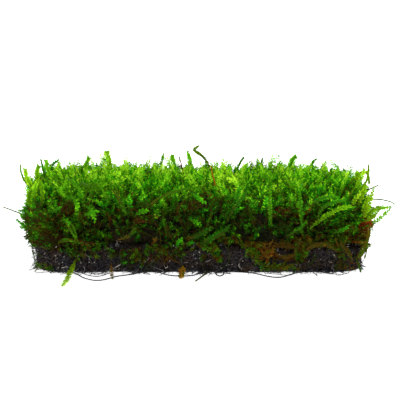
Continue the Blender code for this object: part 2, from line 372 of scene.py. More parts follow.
# colour = cool (1 - warmth) + warm warmth, each by age; a share of the light goes through and the rest is reflected
def leafMaterial(name, colours):
    material, tree = newMaterial(name)
    place = addNode(tree, "ShaderNodeUVMap", {"uv_map": "OFBake"})
    split = addNode(tree, "ShaderNodeSeparateXYZ", links={"Vector": (place, "UV")})
    cool = addNode(tree, "ShaderNodeValToRGB", links={"Fac": (split, "X")}, stops=colours["cool"])
    warm = addNode(tree, "ShaderNodeValToRGB", links={"Fac": (split, "X")}, stops=colours["warm"])
    colour = addNode(
        tree,
        "ShaderNodeMix",
        {"data_type": "RGBA"},
        links={0: (split, "Y"), 6: (cool, "Color"), 7: (warm, "Color")},
    )
    gloss = addNode(tree, "ShaderNodeValToRGB", links={"Fac": (split, "X")}, stops=colours["roughness"])
    leaf = addNode(
        tree,
        "ShaderNodeBsdfPrincipled",
        inputs={"IOR": 1.25, "Specular IOR Level": 0.05, "Specular Tint": (0.7, 1.0, 0.4, 1)},
        links={"Base Color": (colour, 2), "Roughness": (gloss, "Color")},
    )
    through = addNode(tree, "ShaderNodeBsdfTranslucent", links={"Color": (colour, 2)})
    both = addNode(
        tree,
        "ShaderNodeMixShader",
        inputs={"Fac": colours["lightThrough"]},
        links={1: (leaf, "BSDF"), 2: (through, "BSDF")},
    )
    addNode(tree, "ShaderNodeOutputMaterial", links={"Surface": (both, "Shader")})
    return material


# Packed old moss: dead leaves and stems pressed together, damp and dull, seen only as dark depth between shoots. Its
# near-black colour is partly its own and partly painted shade for those gaps
packedLook = {"grain": 0.9 * mm, "patch": 7 * mm, "dark": "#14150c", "brown": "#30241a", "green": "#1f2b14"}
# The mat's felted body: black fibre pressed close, with old humus caught in it, and painted shade darkening its dents
feltLook = {"grain": 0.5 * mm, "patch": 6 * mm, "dark": "#0b0b0c", "brown": "#43362a", "green": "#3a383c"}


# green or brown by patches, dented where the grain is low, and darkened there with painted shade in the dents
def packedMaterial(name, look):
    material, tree = newMaterial(name)
    place = addNode(tree, "ShaderNodeTexCoord")
    spot = {"Vector": (place, "Object")}
    grain = addNode(tree, "ShaderNodeTexNoise", inputs={"Scale": 1 / look["grain"], "Detail": 3.0}, links=spot)
    patch = addNode(tree, "ShaderNodeTexNoise", inputs={"Scale": 1 / look["patch"], "Detail": 2.0}, links=spot)
    hues = [(0.38, look["green"]), (0.62, look["brown"])]
    hue = addNode(tree, "ShaderNodeValToRGB", links={"Fac": (patch, "Fac")}, stops=hues)
    # painted shade: where the grain is low, which is where the bump dents, the colour runs to the dark one
    depth = addNode(
        tree, "ShaderNodeMapRange", inputs={"From Min": 0.42, "From Max": 0.66}, links={"Value": (grain, "Fac")}
    )
    colour = addNode(
        tree,
        "ShaderNodeMix",
        {"data_type": "RGBA"},
        inputs={6: linear(look["dark"])},
        links={0: (depth, "Result"), 7: (hue, "Color")},
    )
    bump = addNode(
        tree, "ShaderNodeBump", inputs={"Strength": 0.8, "Distance": 0.4 * mm}, links={"Height": (grain, "Fac")}
    )
    surface = addNode(
        tree,
        "ShaderNodeBsdfPrincipled",
        inputs={"Roughness": 0.95, "IOR": 1.4, "Specular IOR Level": 0.03},
        links={"Base Color": (colour, 2), "Normal": (bump, "Normal")},
    )
    addNode(tree, "ShaderNodeOutputMaterial", links={"Surface": (surface, "BSDF")})
    return material


# Black polypropylene mat fibre: drawn, springy and slightly shiny. Its shade goes by the map's age, so that each fibre
# has one; the pale grey to near-white shades are painted highlights, set on whole fibres at random.
fibreShadesAndHighlights = {
    "by": "X",
    "shade": [(0.0, "#050506"), (0.35, "#1c1c21"), (0.62, "#56545c"), (0.82, "#a8a29c"), (1.0, "#ece2d4")],
    "surface": {"Roughness": 0.5, "IOR": 1.49},
}
# Spun polyester thread: black, with a dull sheen along its plies. Its shade goes round each ply, a little lighter
# along one side of each ply as a painted sheen.
threadShadeAndSheen = {
    "by": "Y",
    "shade": [(0.0, "#020203"), (0.5, "#0a0a0b"), (1.0, "#030303")],
    "surface": {"Roughness": 0.7, "IOR": 1.5, "Specular IOR Level": 0.2},
}


# one ramp of shades across or up the map, with a plain surface
def strandMaterial(name, look):
    material, tree = newMaterial(name)
    place = addNode(tree, "ShaderNodeUVMap", {"uv_map": "OFBake"})
    split = addNode(tree, "ShaderNodeSeparateXYZ", links={"Vector": (place, "UV")})
    shade = addNode(tree, "ShaderNodeValToRGB", links={"Fac": (split, look["by"])}, stops=look["shade"])
    surface = addNode(
        tree, "ShaderNodeBsdfPrincipled", inputs=look["surface"], links={"Base Color": (shade, "Color")}
    )
    addNode(tree, "ShaderNodeOutputMaterial", links={"Surface": (surface, "BSDF")})
    return material


mossLeaf = leafMaterial("living moss leaf", leafColours)
packedMoss = packedMaterial("packed old moss", packedLook)
matFelt = packedMaterial("black fibre felt", feltLook)
matFibre = strandMaterial("black polypropylene fibre", fibreShadesAndHighlights)
tyingThread = strandMaterial("black polyester thread", threadShadeAndSheen)


view = {"target": (0.3 * mm, 0.0, 17.9 * mm), "distance": 700 * mm, "elevation": 10, "lens": 202.5}
eye = Vector(view["target"]) + view["distance"] * Vector(
    (0, -math.cos(math.radians(view["elevation"])), math.sin(math.radians(view["elevation"])))
)
camera = bpy.data.objects.new("camera", bpy.data.cameras.new("camera"))
camera.data.lens = view["lens"]
camera.data.clip_start = 0.01
camera.location = eye
camera.rotation_euler = (Vector(view["target"]) - eye).to_track_quat("-Z", "Y").to_euler()
bpy.context.scene.collection.objects.link(camera)
bpy.context.scene.camera = camera

studio = {
    "world": 0.41,
    "floorGlow": 0.8,
    "lamps": [
        # name, where the light comes from, how wide it looks in degrees, strength
        ("overhead", (0.15, 0.7, 1.0), 14, 3.9),
        ("front", (-0.4, -1.0, 0.7), 20, 1.0),
    ],
}
bpy.context.scene.view_settings.view_transform = "Standard"
world = bpy.data.worlds.new("white room")
world.use_nodes = True
world.node_tree.nodes["Background"].inputs["Color"].default_value = (1, 1, 1, 1)
world.node_tree.nodes["Background"].inputs["Strength"].default_value = studio["world"]
bpy.context.scene.world = world
for name, source, spread, strength in studio["lamps"]:
    lamp = bpy.data.lights.new(name, "SUN")
    lamp.angle = math.radians(spread)
    lamp.energy = strength
    holder = bpy.data.objects.new(name, lamp)
    holder.rotation_euler = Vector(source).to_track_quat("Z", "Y").to_euler()
    bpy.context.scene.collection.objects.link(holder)

floorMaterial, floorTree = newMaterial("white table")
floorSurface = addNode(
    floorTree,
    "ShaderNodeBsdfPrincipled",
    inputs={
        "Base Color": (0.9, 0.9, 0.9, 1),
        "Roughness": 0.9,
        "Specular IOR Level": 0.1,
        "Emission Color": (1, 1, 1, 1),
        "Emission Strength": studio["floorGlow"],
    },
)
addNode(floorTree, "ShaderNodeOutputMaterial", links={"Surface": (floorSurface, "BSDF")})
# a square floor whose rim turns up as a low white wall on all four sides
tray = {"half": 4.0, "rim": 0.5}
corners = np.array([[-1, -1], [1, -1], [1, 1], [-1, 1]]) * tray["half"]
corners = np.concatenate([np.column_stack([corners, np.full(4, height)]) for height in (0.0, tray["rim"])])
sides = [[k, k + 4, (k + 1) % 4 + 4, (k + 1) % 4] for k in range(4)]
floorMesh = meshOf("floor", corners, np.array([[0, 1, 2, 3]] + sides))
floorMesh.materials.append(floorMaterial)
floor = bpy.data.objects.new("floor", floorMesh)
bpy.context.scene.collection.objects.link(floor)
floor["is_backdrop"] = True
say("camera, lights and floor")


# corner points of a CAD node's triangles, and each triangle's normal and area
def trianglesOf(node):
    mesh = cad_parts[node].data
    mesh.calc_loop_triangles()
    corners = np.zeros(len(mesh.loop_triangles) * 3, np.int32)
    mesh.loop_triangles.foreach_get("vertices", corners)
    places = np.zeros(len(mesh.vertices) * 3, np.float32)
    mesh.vertices.foreach_get("co", places)
    triangles = places.reshape(-1, 3).astype(float)[corners].reshape(-1, 3, 3)
    cross = np.cross(triangles[:, 1] - triangles[:, 0], triangles[:, 2] - triangles[:, 0])
    areas = np.linalg.norm(cross, axis=1) / 2
    return triangles, unit(cross), areas


# points spread evenly by area over a node's triangles, each with the mean normal of the surface around it
def placesOn(node, count, seed, reach=4 * mm):
    rng = np.random.default_rng(seed)
    triangles, normals, areas = trianglesOf(node)
    ends = np.cumsum(areas)
    chosen = np.searchsorted(ends, (np.arange(count) + rng.random(count)) / count * ends[-1])
    chosen = np.minimum(chosen, len(areas) - 1)
    a, b = rng.random(count), rng.random(count)
    a, b = np.where(a + b > 1, 1 - a, a), np.where(a + b > 1, 1 - b, b)
    t = triangles[chosen]
    places = t[:, 0] + scaled(a, t[:, 1] - t[:, 0]) + scaled(b, t[:, 2] - t[:, 0])
    centres = triangles.mean(1)
    near = np.exp(-(((places[:, None] - centres[None]) ** 2).sum(-1)) / reach**2) * areas
    return places, unit(near @ normals)


field = {
    "places": 4700,
    "underside": -0.55,  # no shoots where the surface faces further down than this
    "topFrom": (0.35, 0.4),  # how far up it faces where the sides turn to top, and over how much
    "topLength": (8.0 * mm, 13.0 * mm),
    "sideLength": (7.0 * mm, 12.0 * mm),
    "topSink": (-2.6 * mm, 3.6 * mm),
    "sideSink": (-1.3 * mm, 3.6 * mm),
    "tall": (0.05, 0.45),  # share of top shoots that stand higher, and by how much of the sink
    "clumps": [(6 * mm, 0.27, 3), (2.6 * mm, 0.33, 4)],  # size, strength and seed
    "clumped": 0.62,
    "oldBelow": 19 * mm,
    "youngAbove": 29.5 * mm,
    "age": {"foot": 0.10, "young": 0.41, "power": 2.3, "deep": -0.10, "patch": 0.12, "vary": 0.08},
    "warmth": {"start": 0.14, "patch": 0.12, "vary": 0.08, "young": 0.12},
    "sway": 0.42,
    "rise": {"side": 0.55, "top": 0.40, "low": 0.5, "vary": 0.30},
    "tuft": 11 * mm,
    "branchChance": 0.14,
    "branchReach": (1.8 * mm, 3.4 * mm),
    "branchAge": 0.12,
    "size": (1.0, 0.72),  # of the leaves, on a shoot and on a branch
    "stem": (0.15 * mm, 0.09 * mm, 0.04 * mm),  # radius at a shoot's foot, at a branch's, and at the tips
    "endSwell": (13.0 * mm, 5.0 * mm, 1.6 * mm),  # height, spread and reach
}
# rows: turn is the way a leaf points, 0 and 180 in the shoot's plane, 90 and -90 in front and behind; a row has a leaf
# at every first, or every second, place, from its phase on
fieldLook = {
    "spacing": 0.50 * mm,
    "length": 1.45 * mm,
    "width": 0.46 * mm,
    "angle": 56,
    "droop": 0.04,
    "ageGain": 0.42,
    "ageSpread": 0.155,
    "tipGain": 0.10,
    "buds": (0.25, -0.55),  # share of the shoots that end in a dark bud, and what it takes from the age
    "begin": 0.15,
    "rows": [
        {"turn": 0, "size": 1.0, "every": 1, "phase": 0},
        {"turn": 180, "size": 1.0, "every": 1, "phase": 0},
        {"turn": 90, "size": 0.75, "every": 2, "phase": 0},
        {"turn": -90, "size": 0.75, "every": 2, "phase": 1},
    ],
}


# Roots lie inside the cushion and tips near its surface, sunk or raised by clumps. A shoot is the curve through its
# root, a steeper start, and an end that follows its lean, which is outward, upward and along the face.
def growField():
    rng = np.random.default_rng(11)
    places, normals = placesOn("moss_cushion", field["places"], 5)
    keep = normals[:, 2] > field["underside"]
    places, normals = places[keep], normals[keep]
    n = len(places)
    top = np.clip((normals[:, 2] - field["topFrom"][0]) / field["topFrom"][1], 0, 1)
    lowest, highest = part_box("moss_cushion")
    height = (places[:, 2] - lowest.z) / (highest.z - lowest.z)
    outward = unit(normals * [1, 1, 0.15])
    level = unit(np.cross(up, outward))
    # shoots of one tuft lean the same way along the face; low on the side more of them arch over
    sway = field["sway"] * (1.3 * patches(places, field["tuft"], 7) + rng.normal(0, 1, n))
    rises = field["rise"]
    rise = rises["side"] + rises["top"] * top - rises["low"] * (1 - height) * (1 - top)
    rise = rise + rng.normal(0, rises["vary"], n)
    lean = unit(
        scaled(0.30 + 0.50 * (1 - top), outward)
        + scaled(rise, up)
        + scaled(sway, level)
        + rng.normal(0, 0.12, (n, 3))
    )
    share = rng.random(n)
    length = np.where(top > 0.5, between(field["topLength"], share), between(field["sideLength"], share))
    clump = 0.5 + sum(strength * patches(places, size, seed) for size, strength, seed in field["clumps"])
    chance = np.clip((1 - field["clumped"]) * rng.random(n) + field["clumped"] * clump, 0, 1)
    chance = chance - field["tall"][1] * (rng.random(n) < field["tall"][0]) * top
    sink = np.where(top > 0.5, between(field["topSink"], chance), between(field["sideSink"], chance))
    tip = places - scaled(sink, normals)
    # low on the two ends the shoots stand out further
    low, spread, reach = field["endSwell"]
    swell = reach * np.exp(-(((tip[:, 2] - low) / spread) ** 2))
    tip[:, 0] += np.sign(normals[:, 0]) * np.abs(normals[:, 0]) ** 3 * swell
    # the foot is steeper than the tip, so that the shoot arches
    back = unit(lean * [0.8, 0.8, 0.5] + 0.45 * normals + scaled(0.45 * (1 - top), up))
    root = tip - scaled(length, back)
    start = root + scaled(length * 0.3, unit(back + 0.25 * rng.normal(0, 1, (n, 3))))
    end = tip - scaled(length * 0.34, lean)
    paths = np.stack([root, start, end, tip], 1)
    planes = unit(np.cross(lean, rng.normal(0, 1, (n, 3)) + 0.8 * normals))
    # young at the top, old at the foot, darker where a tip is sunk into the cushion (partly older growth, partly
    # painted shade in the hollow), with patches of each
    depth = sink / field["sideSink"][1]
    young = np.clip((tip[:, 2] - field["oldBelow"]) / (field["youngAbove"] - field["oldBelow"]), 0, 1)
    age, warmth = field["age"], field["warmth"]
    ages = age["foot"] + age["young"] * young ** age["power"] + age["deep"] * depth
    ages = ages + age["patch"] * patches(places, 7 * mm, 21) + rng.normal(0, age["vary"], n)
    warmths = warmth["start"] + warmth["patch"] * patches(places, 14 * mm, 8) + rng.normal(0, warmth["vary"], n)
    return paths, planes, ages, np.clip(warmths + warmth["young"] * young**3, 0.02, 0.9), places, top


paths, planes, ages, warmths, places, top = growField()
branchPaths, parents = branchesOf(paths, planes, field["branchChance"], field["branchReach"], 31)
own = np.concatenate([np.arange(len(paths)), parents])  # a branch takes its parent's values, but is younger
isBranch = np.arange(len(own)) >= len(paths)
allPaths = np.concatenate([paths, branchPaths])
allPlanes, allWarmths, allPlaces, allTop = planes[own], warmths[own], places[own], top[own]
allAges = ages[own] + field["branchAge"] * isBranch


# the shoots of one part of the field as a piece of their own: leaves and the stem that carries them
def addShoots(name, chosen, seed):
    n = len(chosen)
    paths, planes, ages, warmths = allPaths[chosen], allPlanes[chosen], allAges[chosen], allWarmths[chosen]
    budded = np.random.default_rng(seed + 50).random(n) < fieldLook["buds"][0]
    look = fieldLook | {
        "scale": np.where(isBranch[chosen], field["size"][1], field["size"][0]),
        "tipGain": np.where(budded, fieldLook["buds"][1], fieldLook["tipGain"]),
    }
    leaves = leafRows(paths, planes, ages, warmths, look, seed)
    main, side, end = field["stem"]
    thick, thin = np.where(isBranch[chosen], side, main), np.full(n, end)
    stems = tubes(paths, planes, thick, thin, ages - 0.06, warmths + 0.15, 5, 3, look["ageGain"])
    points, faces, uv = joined([leaves, stems])
    addPiece(name, meshOf(name, points, faces, uv), mossLeaf, "moss_cushion")


# the top in four parts along x, and the sides in four: front, back and the two ends
isTop = allTop > 0.5
x, y = allPlaces[:, 0], allPlaces[:, 1]
outer, front, back = abs(x) >= 26 * mm, y < -12 * mm, y > 12 * mm
fieldParts = {
    "topShootsLeft": isTop & outer & (x < 0),
    "topShootsMidLeft": isTop & ~outer & (x < 0),
    "topShootsMidRight": isTop & ~outer & (x >= 0),
    "topShootsRight": isTop & outer & (x >= 0),
    "frontShoots": ~isTop & front,
    "backShoots": ~isTop & back,
    "leftEndShoots": ~isTop & ~front & ~back & (x < 0),
    "rightEndShoots": ~isTop & ~front & ~back & (x >= 0),
}
for number, (name, chosen) in enumerate(fieldParts.items()):
    addShoots(name, np.flatnonzero(chosen), 100 + number)


# The packed growth under the shoots: a block on a grid of turn and height. Its outline is where the sum of x and y,
# each to one power, is 1, its section rounds by a second power, and patches of three sizes push it in and out.
core = {
    "centre": (-0.8, 0.0, 13.0),
    "half": (47.5, 21.6, 7.6),
    "lumps": [(7, 0.9), (2.6, 0.55), (1.1, 0.3)],
    "grid": (220, 60),
    "powers": (8, 5),
    "seed": 40,
}


def roundedBlock(block):
    (columns, rows), (outline, section) = block["grid"], block["powers"]
    around = np.linspace(0, 2 * math.pi, columns, endpoint=False)
    rise = np.linspace(-math.pi / 2, math.pi / 2, rows)[1:-1]
    a, r = np.meshgrid(around, rise)
    way = np.stack([np.cos(r) * np.cos(a), np.cos(r) * np.sin(a), np.sin(r)], -1).reshape(-1, 3)
    way = np.concatenate([way, [[0, 0, -1], [0, 0, 1]]])
    flat = (np.abs(way[:, :2]) ** outline).sum(-1) ** (1 / outline)
    reach = (flat**section + np.abs(way[:, 2]) ** section) ** (-1 / section)
    half = np.array(block["half"]) * mm
    points = way * reach[:, None] * half
    normal = unit(np.sign(way) * np.abs(way) ** (section - 1) / half)
    for number, (size, depth) in enumerate(block["lumps"]):
        points = points + scaled(patches(points, size * mm, block["seed"] + number) * depth * mm, normal)
    points = points + np.array(block["centre"]) * mm
    grid = np.arange(len(rise) * columns).reshape(len(rise), columns)
    south, north = len(points) - 2, len(points) - 1
    return points, np.concatenate([wallsOf(grid), fanOf(south, grid[0]), fanOf(north, grid[-1])[:, [0, 2, 1]]])


points, faces = roundedBlock(core)
addPiece("packedGrowth", meshOf("packedGrowth", points, faces, smooth=True), packedMoss, "moss_cushion")


# brown stems lie at random just under the moss's sides and over the top of the mat, some with withered leaves
oldGrowth = {
    "stems": 520,
    "stemLength": (4.0 * mm, 11.0 * mm),
    "withered": 0.35,  # share of the stems that still bear leaves
    "skirt": 1900,
    "skirtLength": (4.0 * mm, 7.5 * mm),
    "skirtLean": {"out": 0.55, "sway": 0.6, "rise": (-0.5, 0.9)},
    "skirtStem": (0.10 * mm, 0.05 * mm),  # radius at the foot and at the tip
    "stem": (0.12 * mm, 0.06 * mm),
    "skirtAge": (-0.12, 0.12),
    "stemAge": (0.0, 0.30),
    "skirtWarmth": (0.22, 0.18, 11 * mm, 65, 0.08),  # mean, patches' strength, size and seed, and the random part
    "stemWarmth": (0.06, 0.12, 9 * mm, 75, 0.06),
    "skirtEdge": 4.6 * mm,  # mean height of the skirt's lower edge
    "skirtWaves": [(12 * mm, 3.6 * mm, 63), (4 * mm, 1.6 * mm, 60)],  # size, height and seed
}


# warmth = mean + strength (waves of one size) + a random part
def warmthsOf(places, look, rng):
    mean, strength, size, seed, vary = look
    return np.clip(mean + strength * patches(places, size, seed) + rng.normal(0, vary, len(places)), 0.02, 0.95)


# Old shoots that hang out over the mat's rim, down to an edge that waves. Each leans outward, along the face and a
# little up or down.
def growSkirt():
    rng = np.random.default_rng(61)
    places, normals = placesOn("fibre_mat", 9000, 62, reach=2.5 * mm)
    over = places[:, 2] - oldGrowth["skirtEdge"]
    over = over + sum(height * patches(places, size, seed) for size, height, seed in oldGrowth["skirtWaves"])
    keep = np.flatnonzero((abs(normals[:, 2]) < 0.75) & (over > 0))
    keep = rng.permutation(keep)[: oldGrowth["skirt"]]
    places, normals = places[keep], unit(normals[keep] * [1, 1, 0])
    n = len(places)
    length = rng.uniform(*oldGrowth["skirtLength"], n)
    lean = oldGrowth["skirtLean"]
    sway = unit(np.cross(normals, up)) * rng.normal(0, lean["sway"], (n, 1))
    rise = rng.uniform(*lean["rise"], (n, 1))
    way = unit(normals * lean["out"] + sway + up * rise)
    tip = places + scaled(rng.uniform(0.6, 2.2, n) * mm, normals) + way * mm + up * rng.uniform(0, 3, (n, 1)) * mm
    back = unit(way + 0.9 * normals - 0.3 * up * rise)
    root = tip - scaled(length, back)
    paths = np.stack([root, root + scaled(length * 0.35, back), tip - scaled(length * 0.3, way), tip], 1)
    planes = unit(np.cross(way, rng.normal(0, 0.5, (n, 3)) + normals))
    ages = rng.uniform(*oldGrowth["skirtAge"], n) + 0.06 * patches(places, 8 * mm, 64)
    return paths, planes, ages, warmthsOf(places, oldGrowth["skirtWarmth"], rng)


# Each stem is bowed, and lies along the face at some angle from upright: its middle is a place on the moss's side, or
# on the mat's side where a patch has stems, sunk a little.
def growStems():
    rng = np.random.default_rng(71)
    moss, mossNormals = placesOn("moss_cushion", 5200, 72)
    mat, matNormals = placesOn("fibre_mat", 3000, 73, reach=2.5 * mm)
    low = (abs(mossNormals[:, 2]) < 0.5) & (moss[:, 2] < 21 * mm)
    side = (abs(matNormals[:, 2]) < 0.5) & (patches(mat, 13 * mm, 74) > 0.15)
    sunk = np.concatenate([rng.uniform(0.6, 3.8, low.sum()), rng.uniform(-0.9, 0.1, side.sum())]) * mm
    places = np.concatenate([moss[low], mat[side]])
    normals = unit(np.concatenate([mossNormals[low], matNormals[side]]) * [1, 1, 0])
    chosen = rng.permutation(len(places))[: oldGrowth["stems"]]
    places, normals, sunk = places[chosen], normals[chosen], sunk[chosen]
    n = len(places)
    length = rng.uniform(*oldGrowth["stemLength"], n)
    level = unit(np.cross(normals, up))
    turn = rng.normal(0, 0.9, n)
    way = scaled(np.cos(turn), up) + scaled(np.sin(turn), level)
    middle = places - scaled(sunk, normals)
    bow = scaled(rng.normal(0, 0.22, n) * length, level) + scaled(rng.normal(0, 0.05, n) * length, normals)
    root, tip = middle - scaled(length * 0.5, way), middle + scaled(length * 0.5, way)
    third = scaled(length * 0.3, way)
    paths = np.stack([root, root + third + bow, tip - third + bow * 0.6, tip], 1)
    paths[:, :, 2] = np.maximum(paths[:, :, 2], 0.5 * mm)
    ages = rng.uniform(*oldGrowth["stemAge"], n)
    return paths, unit(np.cross(way, normals)), ages, warmthsOf(places, oldGrowth["stemWarmth"], rng)


skirtPaths, skirtPlanes, skirtAges, skirtWarmths = growSkirt()
n = len(skirtPaths)
skirtLook = fieldLook | {
    "spacing": 0.45 * mm, "length": 1.3 * mm, "width": 0.42 * mm,
    "ageGain": 0.40, "tipGain": 0.08, "begin": 0.2, "scale": np.ones(n),
}
thick, thin = (np.full(n, radius) for radius in oldGrowth["skirtStem"])
leaves = leafRows(skirtPaths, skirtPlanes, skirtAges, skirtWarmths, skirtLook, 66)
stems = tubes(skirtPaths, skirtPlanes, thick, thin, skirtAges, skirtWarmths + 0.2, 3, 3, 0.2)
addGrowth("skirtShoots", [leaves, stems], mossLeaf, "moss_cushion", 0.1 * mm)

stemPaths, stemPlanes, stemAges, stemWarmths = growStems()
n = len(stemPaths)
withered = np.flatnonzero(np.random.default_rng(76).random(n) < oldGrowth["withered"])
witheredLook = skirtLook | {
    "spacing": 0.6 * mm, "length": 0.9 * mm, "width": 0.30 * mm,
    "ageGain": 0.06, "tipGain": 0.05, "droop": 0.2, "scale": np.ones(len(withered)),
}
thick, thin = (np.full(n, radius) for radius in oldGrowth["stem"])
stems = tubes(stemPaths, stemPlanes, thick, thin, stemAges, stemWarmths, 6, 3, 0.05)
picked = (values[withered] for values in (stemPaths, stemPlanes, stemAges, stemWarmths))
leaves = leafRows(*picked, witheredLook, 77)
addGrowth("oldStems", [stems, leaves], mossLeaf, "moss_cushion", 0.1 * mm)


mat = {
    "centre": (0.0, 0.0, 3.4),
    "half": (49.4, 24.4, 5.2),
    "lumps": [(6, 0.35), (1.6, 0.40), (0.8, 0.25)],
    "grid": (240, 44),
    "powers": (10, 6),
    "seed": 80,
    "curls": 9400,
    "curlRadius": (0.16 * mm, 0.46 * mm),
    "curlSweep": (0.9, 2.3),
    "curlDepth": (-0.8 * mm, 0.45 * mm),
    "strays": 800,
    "strayLength": (1.2 * mm, 3.4 * mm),
    "fringe": 1900,
    "fringeLength": (1.5 * mm, 7.0 * mm),
    "fringeBehind": 0.2,  # how long it is at the ends and behind, as a share of the front's
    "thickness": (0.05 * mm, 0.09 * mm),
    "fringeThickness": (0.08 * mm, 0.15 * mm),
}
points, faces = roundedBlock(mat)
points[:, 2] = np.maximum(points[:, 2], 0.0)
addPiece("matBody", meshOf("matBody", points, faces, smooth=True), matFelt, "fibre_mat")


# Curls of fibre: arcs of a circle, each drawn by four control points, whose handles are 4/3 tan(sweep/4) radii long.
# Each lies nearly flat on the mat's surface, a little in or out of it.
def growCurls():
    rng = np.random.default_rng(91)
    places, normals = placesOn("fibre_mat", mat["curls"] * 3, 92, reach=2.0 * mm)
    keep = np.flatnonzero((normals[:, 2] > -0.9) & (normals[:, 2] < 0.8))
    keep = rng.permutation(keep)[: mat["curls"]]
    places, normals = places[keep], normals[keep]
    n = len(places)
    radius = rng.uniform(*mat["curlRadius"], n)
    sweep = rng.uniform(*mat["curlSweep"], n)
    a = unit(np.cross(normals, rng.normal(0, 1, (n, 3))))
    b = unit(np.cross(normals, a) + normals * rng.normal(0, 0.35, (n, 1)))
    centre = places + scaled(rng.uniform(*mat["curlDepth"], n), normals) - scaled(radius, a)
    handle = (radius * 4 / 3 * np.tan(sweep / 4))[:, None]

    def rim(turn):
        return centre + scaled(radius * np.cos(turn), a) + scaled(radius * np.sin(turn), b)

    def travel(turn):
        return -scaled(np.sin(turn), a) + scaled(np.cos(turn), b)

    first, last = rim(-sweep / 2), rim(sweep / 2)
    paths = np.stack([first, first + handle * travel(-sweep / 2), last - handle * travel(sweep / 2), last], 1)
    return paths, normals


# loose ends: each passes through the surface at a random slant, with a bend
def growStrays():
    rng = np.random.default_rng(95)
    places, normals = placesOn("fibre_mat", mat["strays"] * 3, 96, reach=2.0 * mm)
    keep = np.flatnonzero((normals[:, 2] > -0.95) & (normals[:, 2] < 0.3))[: mat["strays"]]
    places, normals = places[keep], normals[keep]
    n = len(places)
    length = rng.uniform(*mat["strayLength"], n)
    way = unit(normals + rng.normal(0, 0.8, (n, 3)))
    bend = rng.normal(0, 0.35, (n, 3)) * length[:, None]
    root, tip = places - scaled(0.5 * length, way), places + scaled(0.5 * length, way)
    third = (tip - root) / 3
    return np.stack([root, root + third + bend, root + third * 2 + bend * 0.5, tip], 1), normals


# loose ends at the foot that lie out over the table
def growFringe():
    rng = np.random.default_rng(93)
    places, normals = placesOn("fibre_mat", mat["fringe"] * 12, 94, reach=2.0 * mm)
    tufted = patches(places, 7 * mm, 99) + rng.normal(0, 0.4, len(places)) > -0.1
    keep = np.flatnonzero((places[:, 2] < 2.2 * mm) & (places[:, 2] > 0.1 * mm) & tufted)[: mat["fringe"]]
    places, outward = places[keep], unit(normals[keep] * [1, 1, 0])
    n = len(places)
    level = unit(np.cross(outward, up))
    way = unit(outward + scaled(rng.normal(0, 0.6, n), level))
    length = between(mat["fringeLength"], rng.random(n) ** 1.6)
    length = length * between((mat["fringeBehind"], 1.0), np.maximum(-outward[:, 1], 0))
    bend = scaled(rng.normal(0, 0.4, n) * length, level)
    foot = places - 0.4 * mm * outward
    tip = foot + scaled(length, way)
    tip[:, 2] = rng.uniform(0.1, 0.6, n) * mm
    return np.stack([foot, foot + (tip - foot) * 0.35 + bend, foot + (tip - foot) * 0.7 + bend, tip], 1), outward


curls, curlNormals = growCurls()
strays, strayNormals = growStrays()
fringe, fringeNormals = growFringe()


# fibres as tubes of three sides, each of one shade
def addFibres(name, fibres, normals, thickness, lightest, rings, seed):
    rng = np.random.default_rng(seed)
    n = len(fibres)
    thick = rng.uniform(*thickness, n)
    fibres[:, :, 2] = np.maximum(fibres[:, :, 2], 0.2 * mm)
    # each fibre's shade; the palest ones, raised by lightest, are painted highlights
    shade = np.clip(lightest * rng.beta(0.75, 1.5, n) + 0.12 * patches(fibres[:, 0], 5 * mm, 98), 0.02, 0.98)
    across = rng.uniform(0.1, 0.9, n)
    tubeSet = tubes(fibres, unit(normals + 0.01), thick, thick * 0.8, shade, across, rings, 3)
    addGrowth(name, [tubeSet], matFibre, "fibre_mat", 0.02 * mm)


fibres, normals = np.concatenate([curls, strays]), np.concatenate([curlNormals, strayNormals])
addFibres("matFibres", fibres, normals, mat["thickness"], 1.15, 3, 97)
addFibres("matFringe", fringe, fringeNormals, mat["fringeThickness"], 0.75, 4, 100)


# A thread of two plies: the route is a smooth curve through its own points, and each ply is a tube whose centre
# turns about it once a pitch, half a turn from the other
threads = {
    "bindingThread": {
        "closed": True,
        "radius": 0.22 * mm,
        "height": 0.24 * mm,
        "route": [
            (-42.0, -24.3), (-38.9, -24.8), (-36.6, -28.3), (-34.3, -33.4), (-31.2, -36.8), (-28.5, -36.2),
            (-26.2, -33.2), (-24.0, -30.6), (-21.4, -28.9), (-18.6, -25.8), (-15.4, -24.5), (-12.3, -25.4),
            (-10.2, -28.4), (-7.8, -30.2), (-4.8, -30.7), (-2.0, -29.8), (0.6, -26.6), (4.0, -24.6),
            (10.5, -24.5), (14.7, -25.6), (17.5, -27.6), (19.9, -30.5), (22.8, -32.6), (25.2, -31.6),
            (27.6, -28.2), (30.2, -25.2), (34.0, -24.4), (40.0, -24.4), (46.0, -22.3), (48.9, -17.4),
            (49.3, -11.0), (49.2, 0.0), (50.4, 9.0), (48.4, 17.6), (44.9, 23.1), (38.0, 24.6),
            (30.0, 27.5), (22.0, 28.6), (14.0, 26.0), (6.0, 24.6), (-4.0, 26.8), (-12.0, 27.9),
            (-20.0, 25.4), (-30.0, 24.5), (-38.0, 25.4), (-45.6, 22.7), (-48.8, 17.4), (-49.4, 10.0),
            (-50.6, 0.0), (-49.4, -11.0), (-47.6, -20.7),
        ],
    },
    "fineThread": {
        "closed": False,
        "radius": 0.16 * mm,
        "height": 0.24 * mm,
        "route": [(-35.2, -26.2), (-33.2, -29.6), (-30.6, -31.2), (-28.4, -29.2), (-27.0, -25.8)],
    },
    "threadLoop": {
        "closed": False,
        "radius": 0.22 * mm,
        "height": 0.24 * mm,
        "route": [(5.2, -25.4), (5.2, -28.6), (6.2, -30.6), (7.3, -28.4), (7.4, -25.4)],
    },
}
# length of a whole turn, then the plies' distance from the route and their own radius as shares of the thread's
threadTwist = {"pitch": 1.1 * mm, "offset": 0.44, "ply": 0.56}


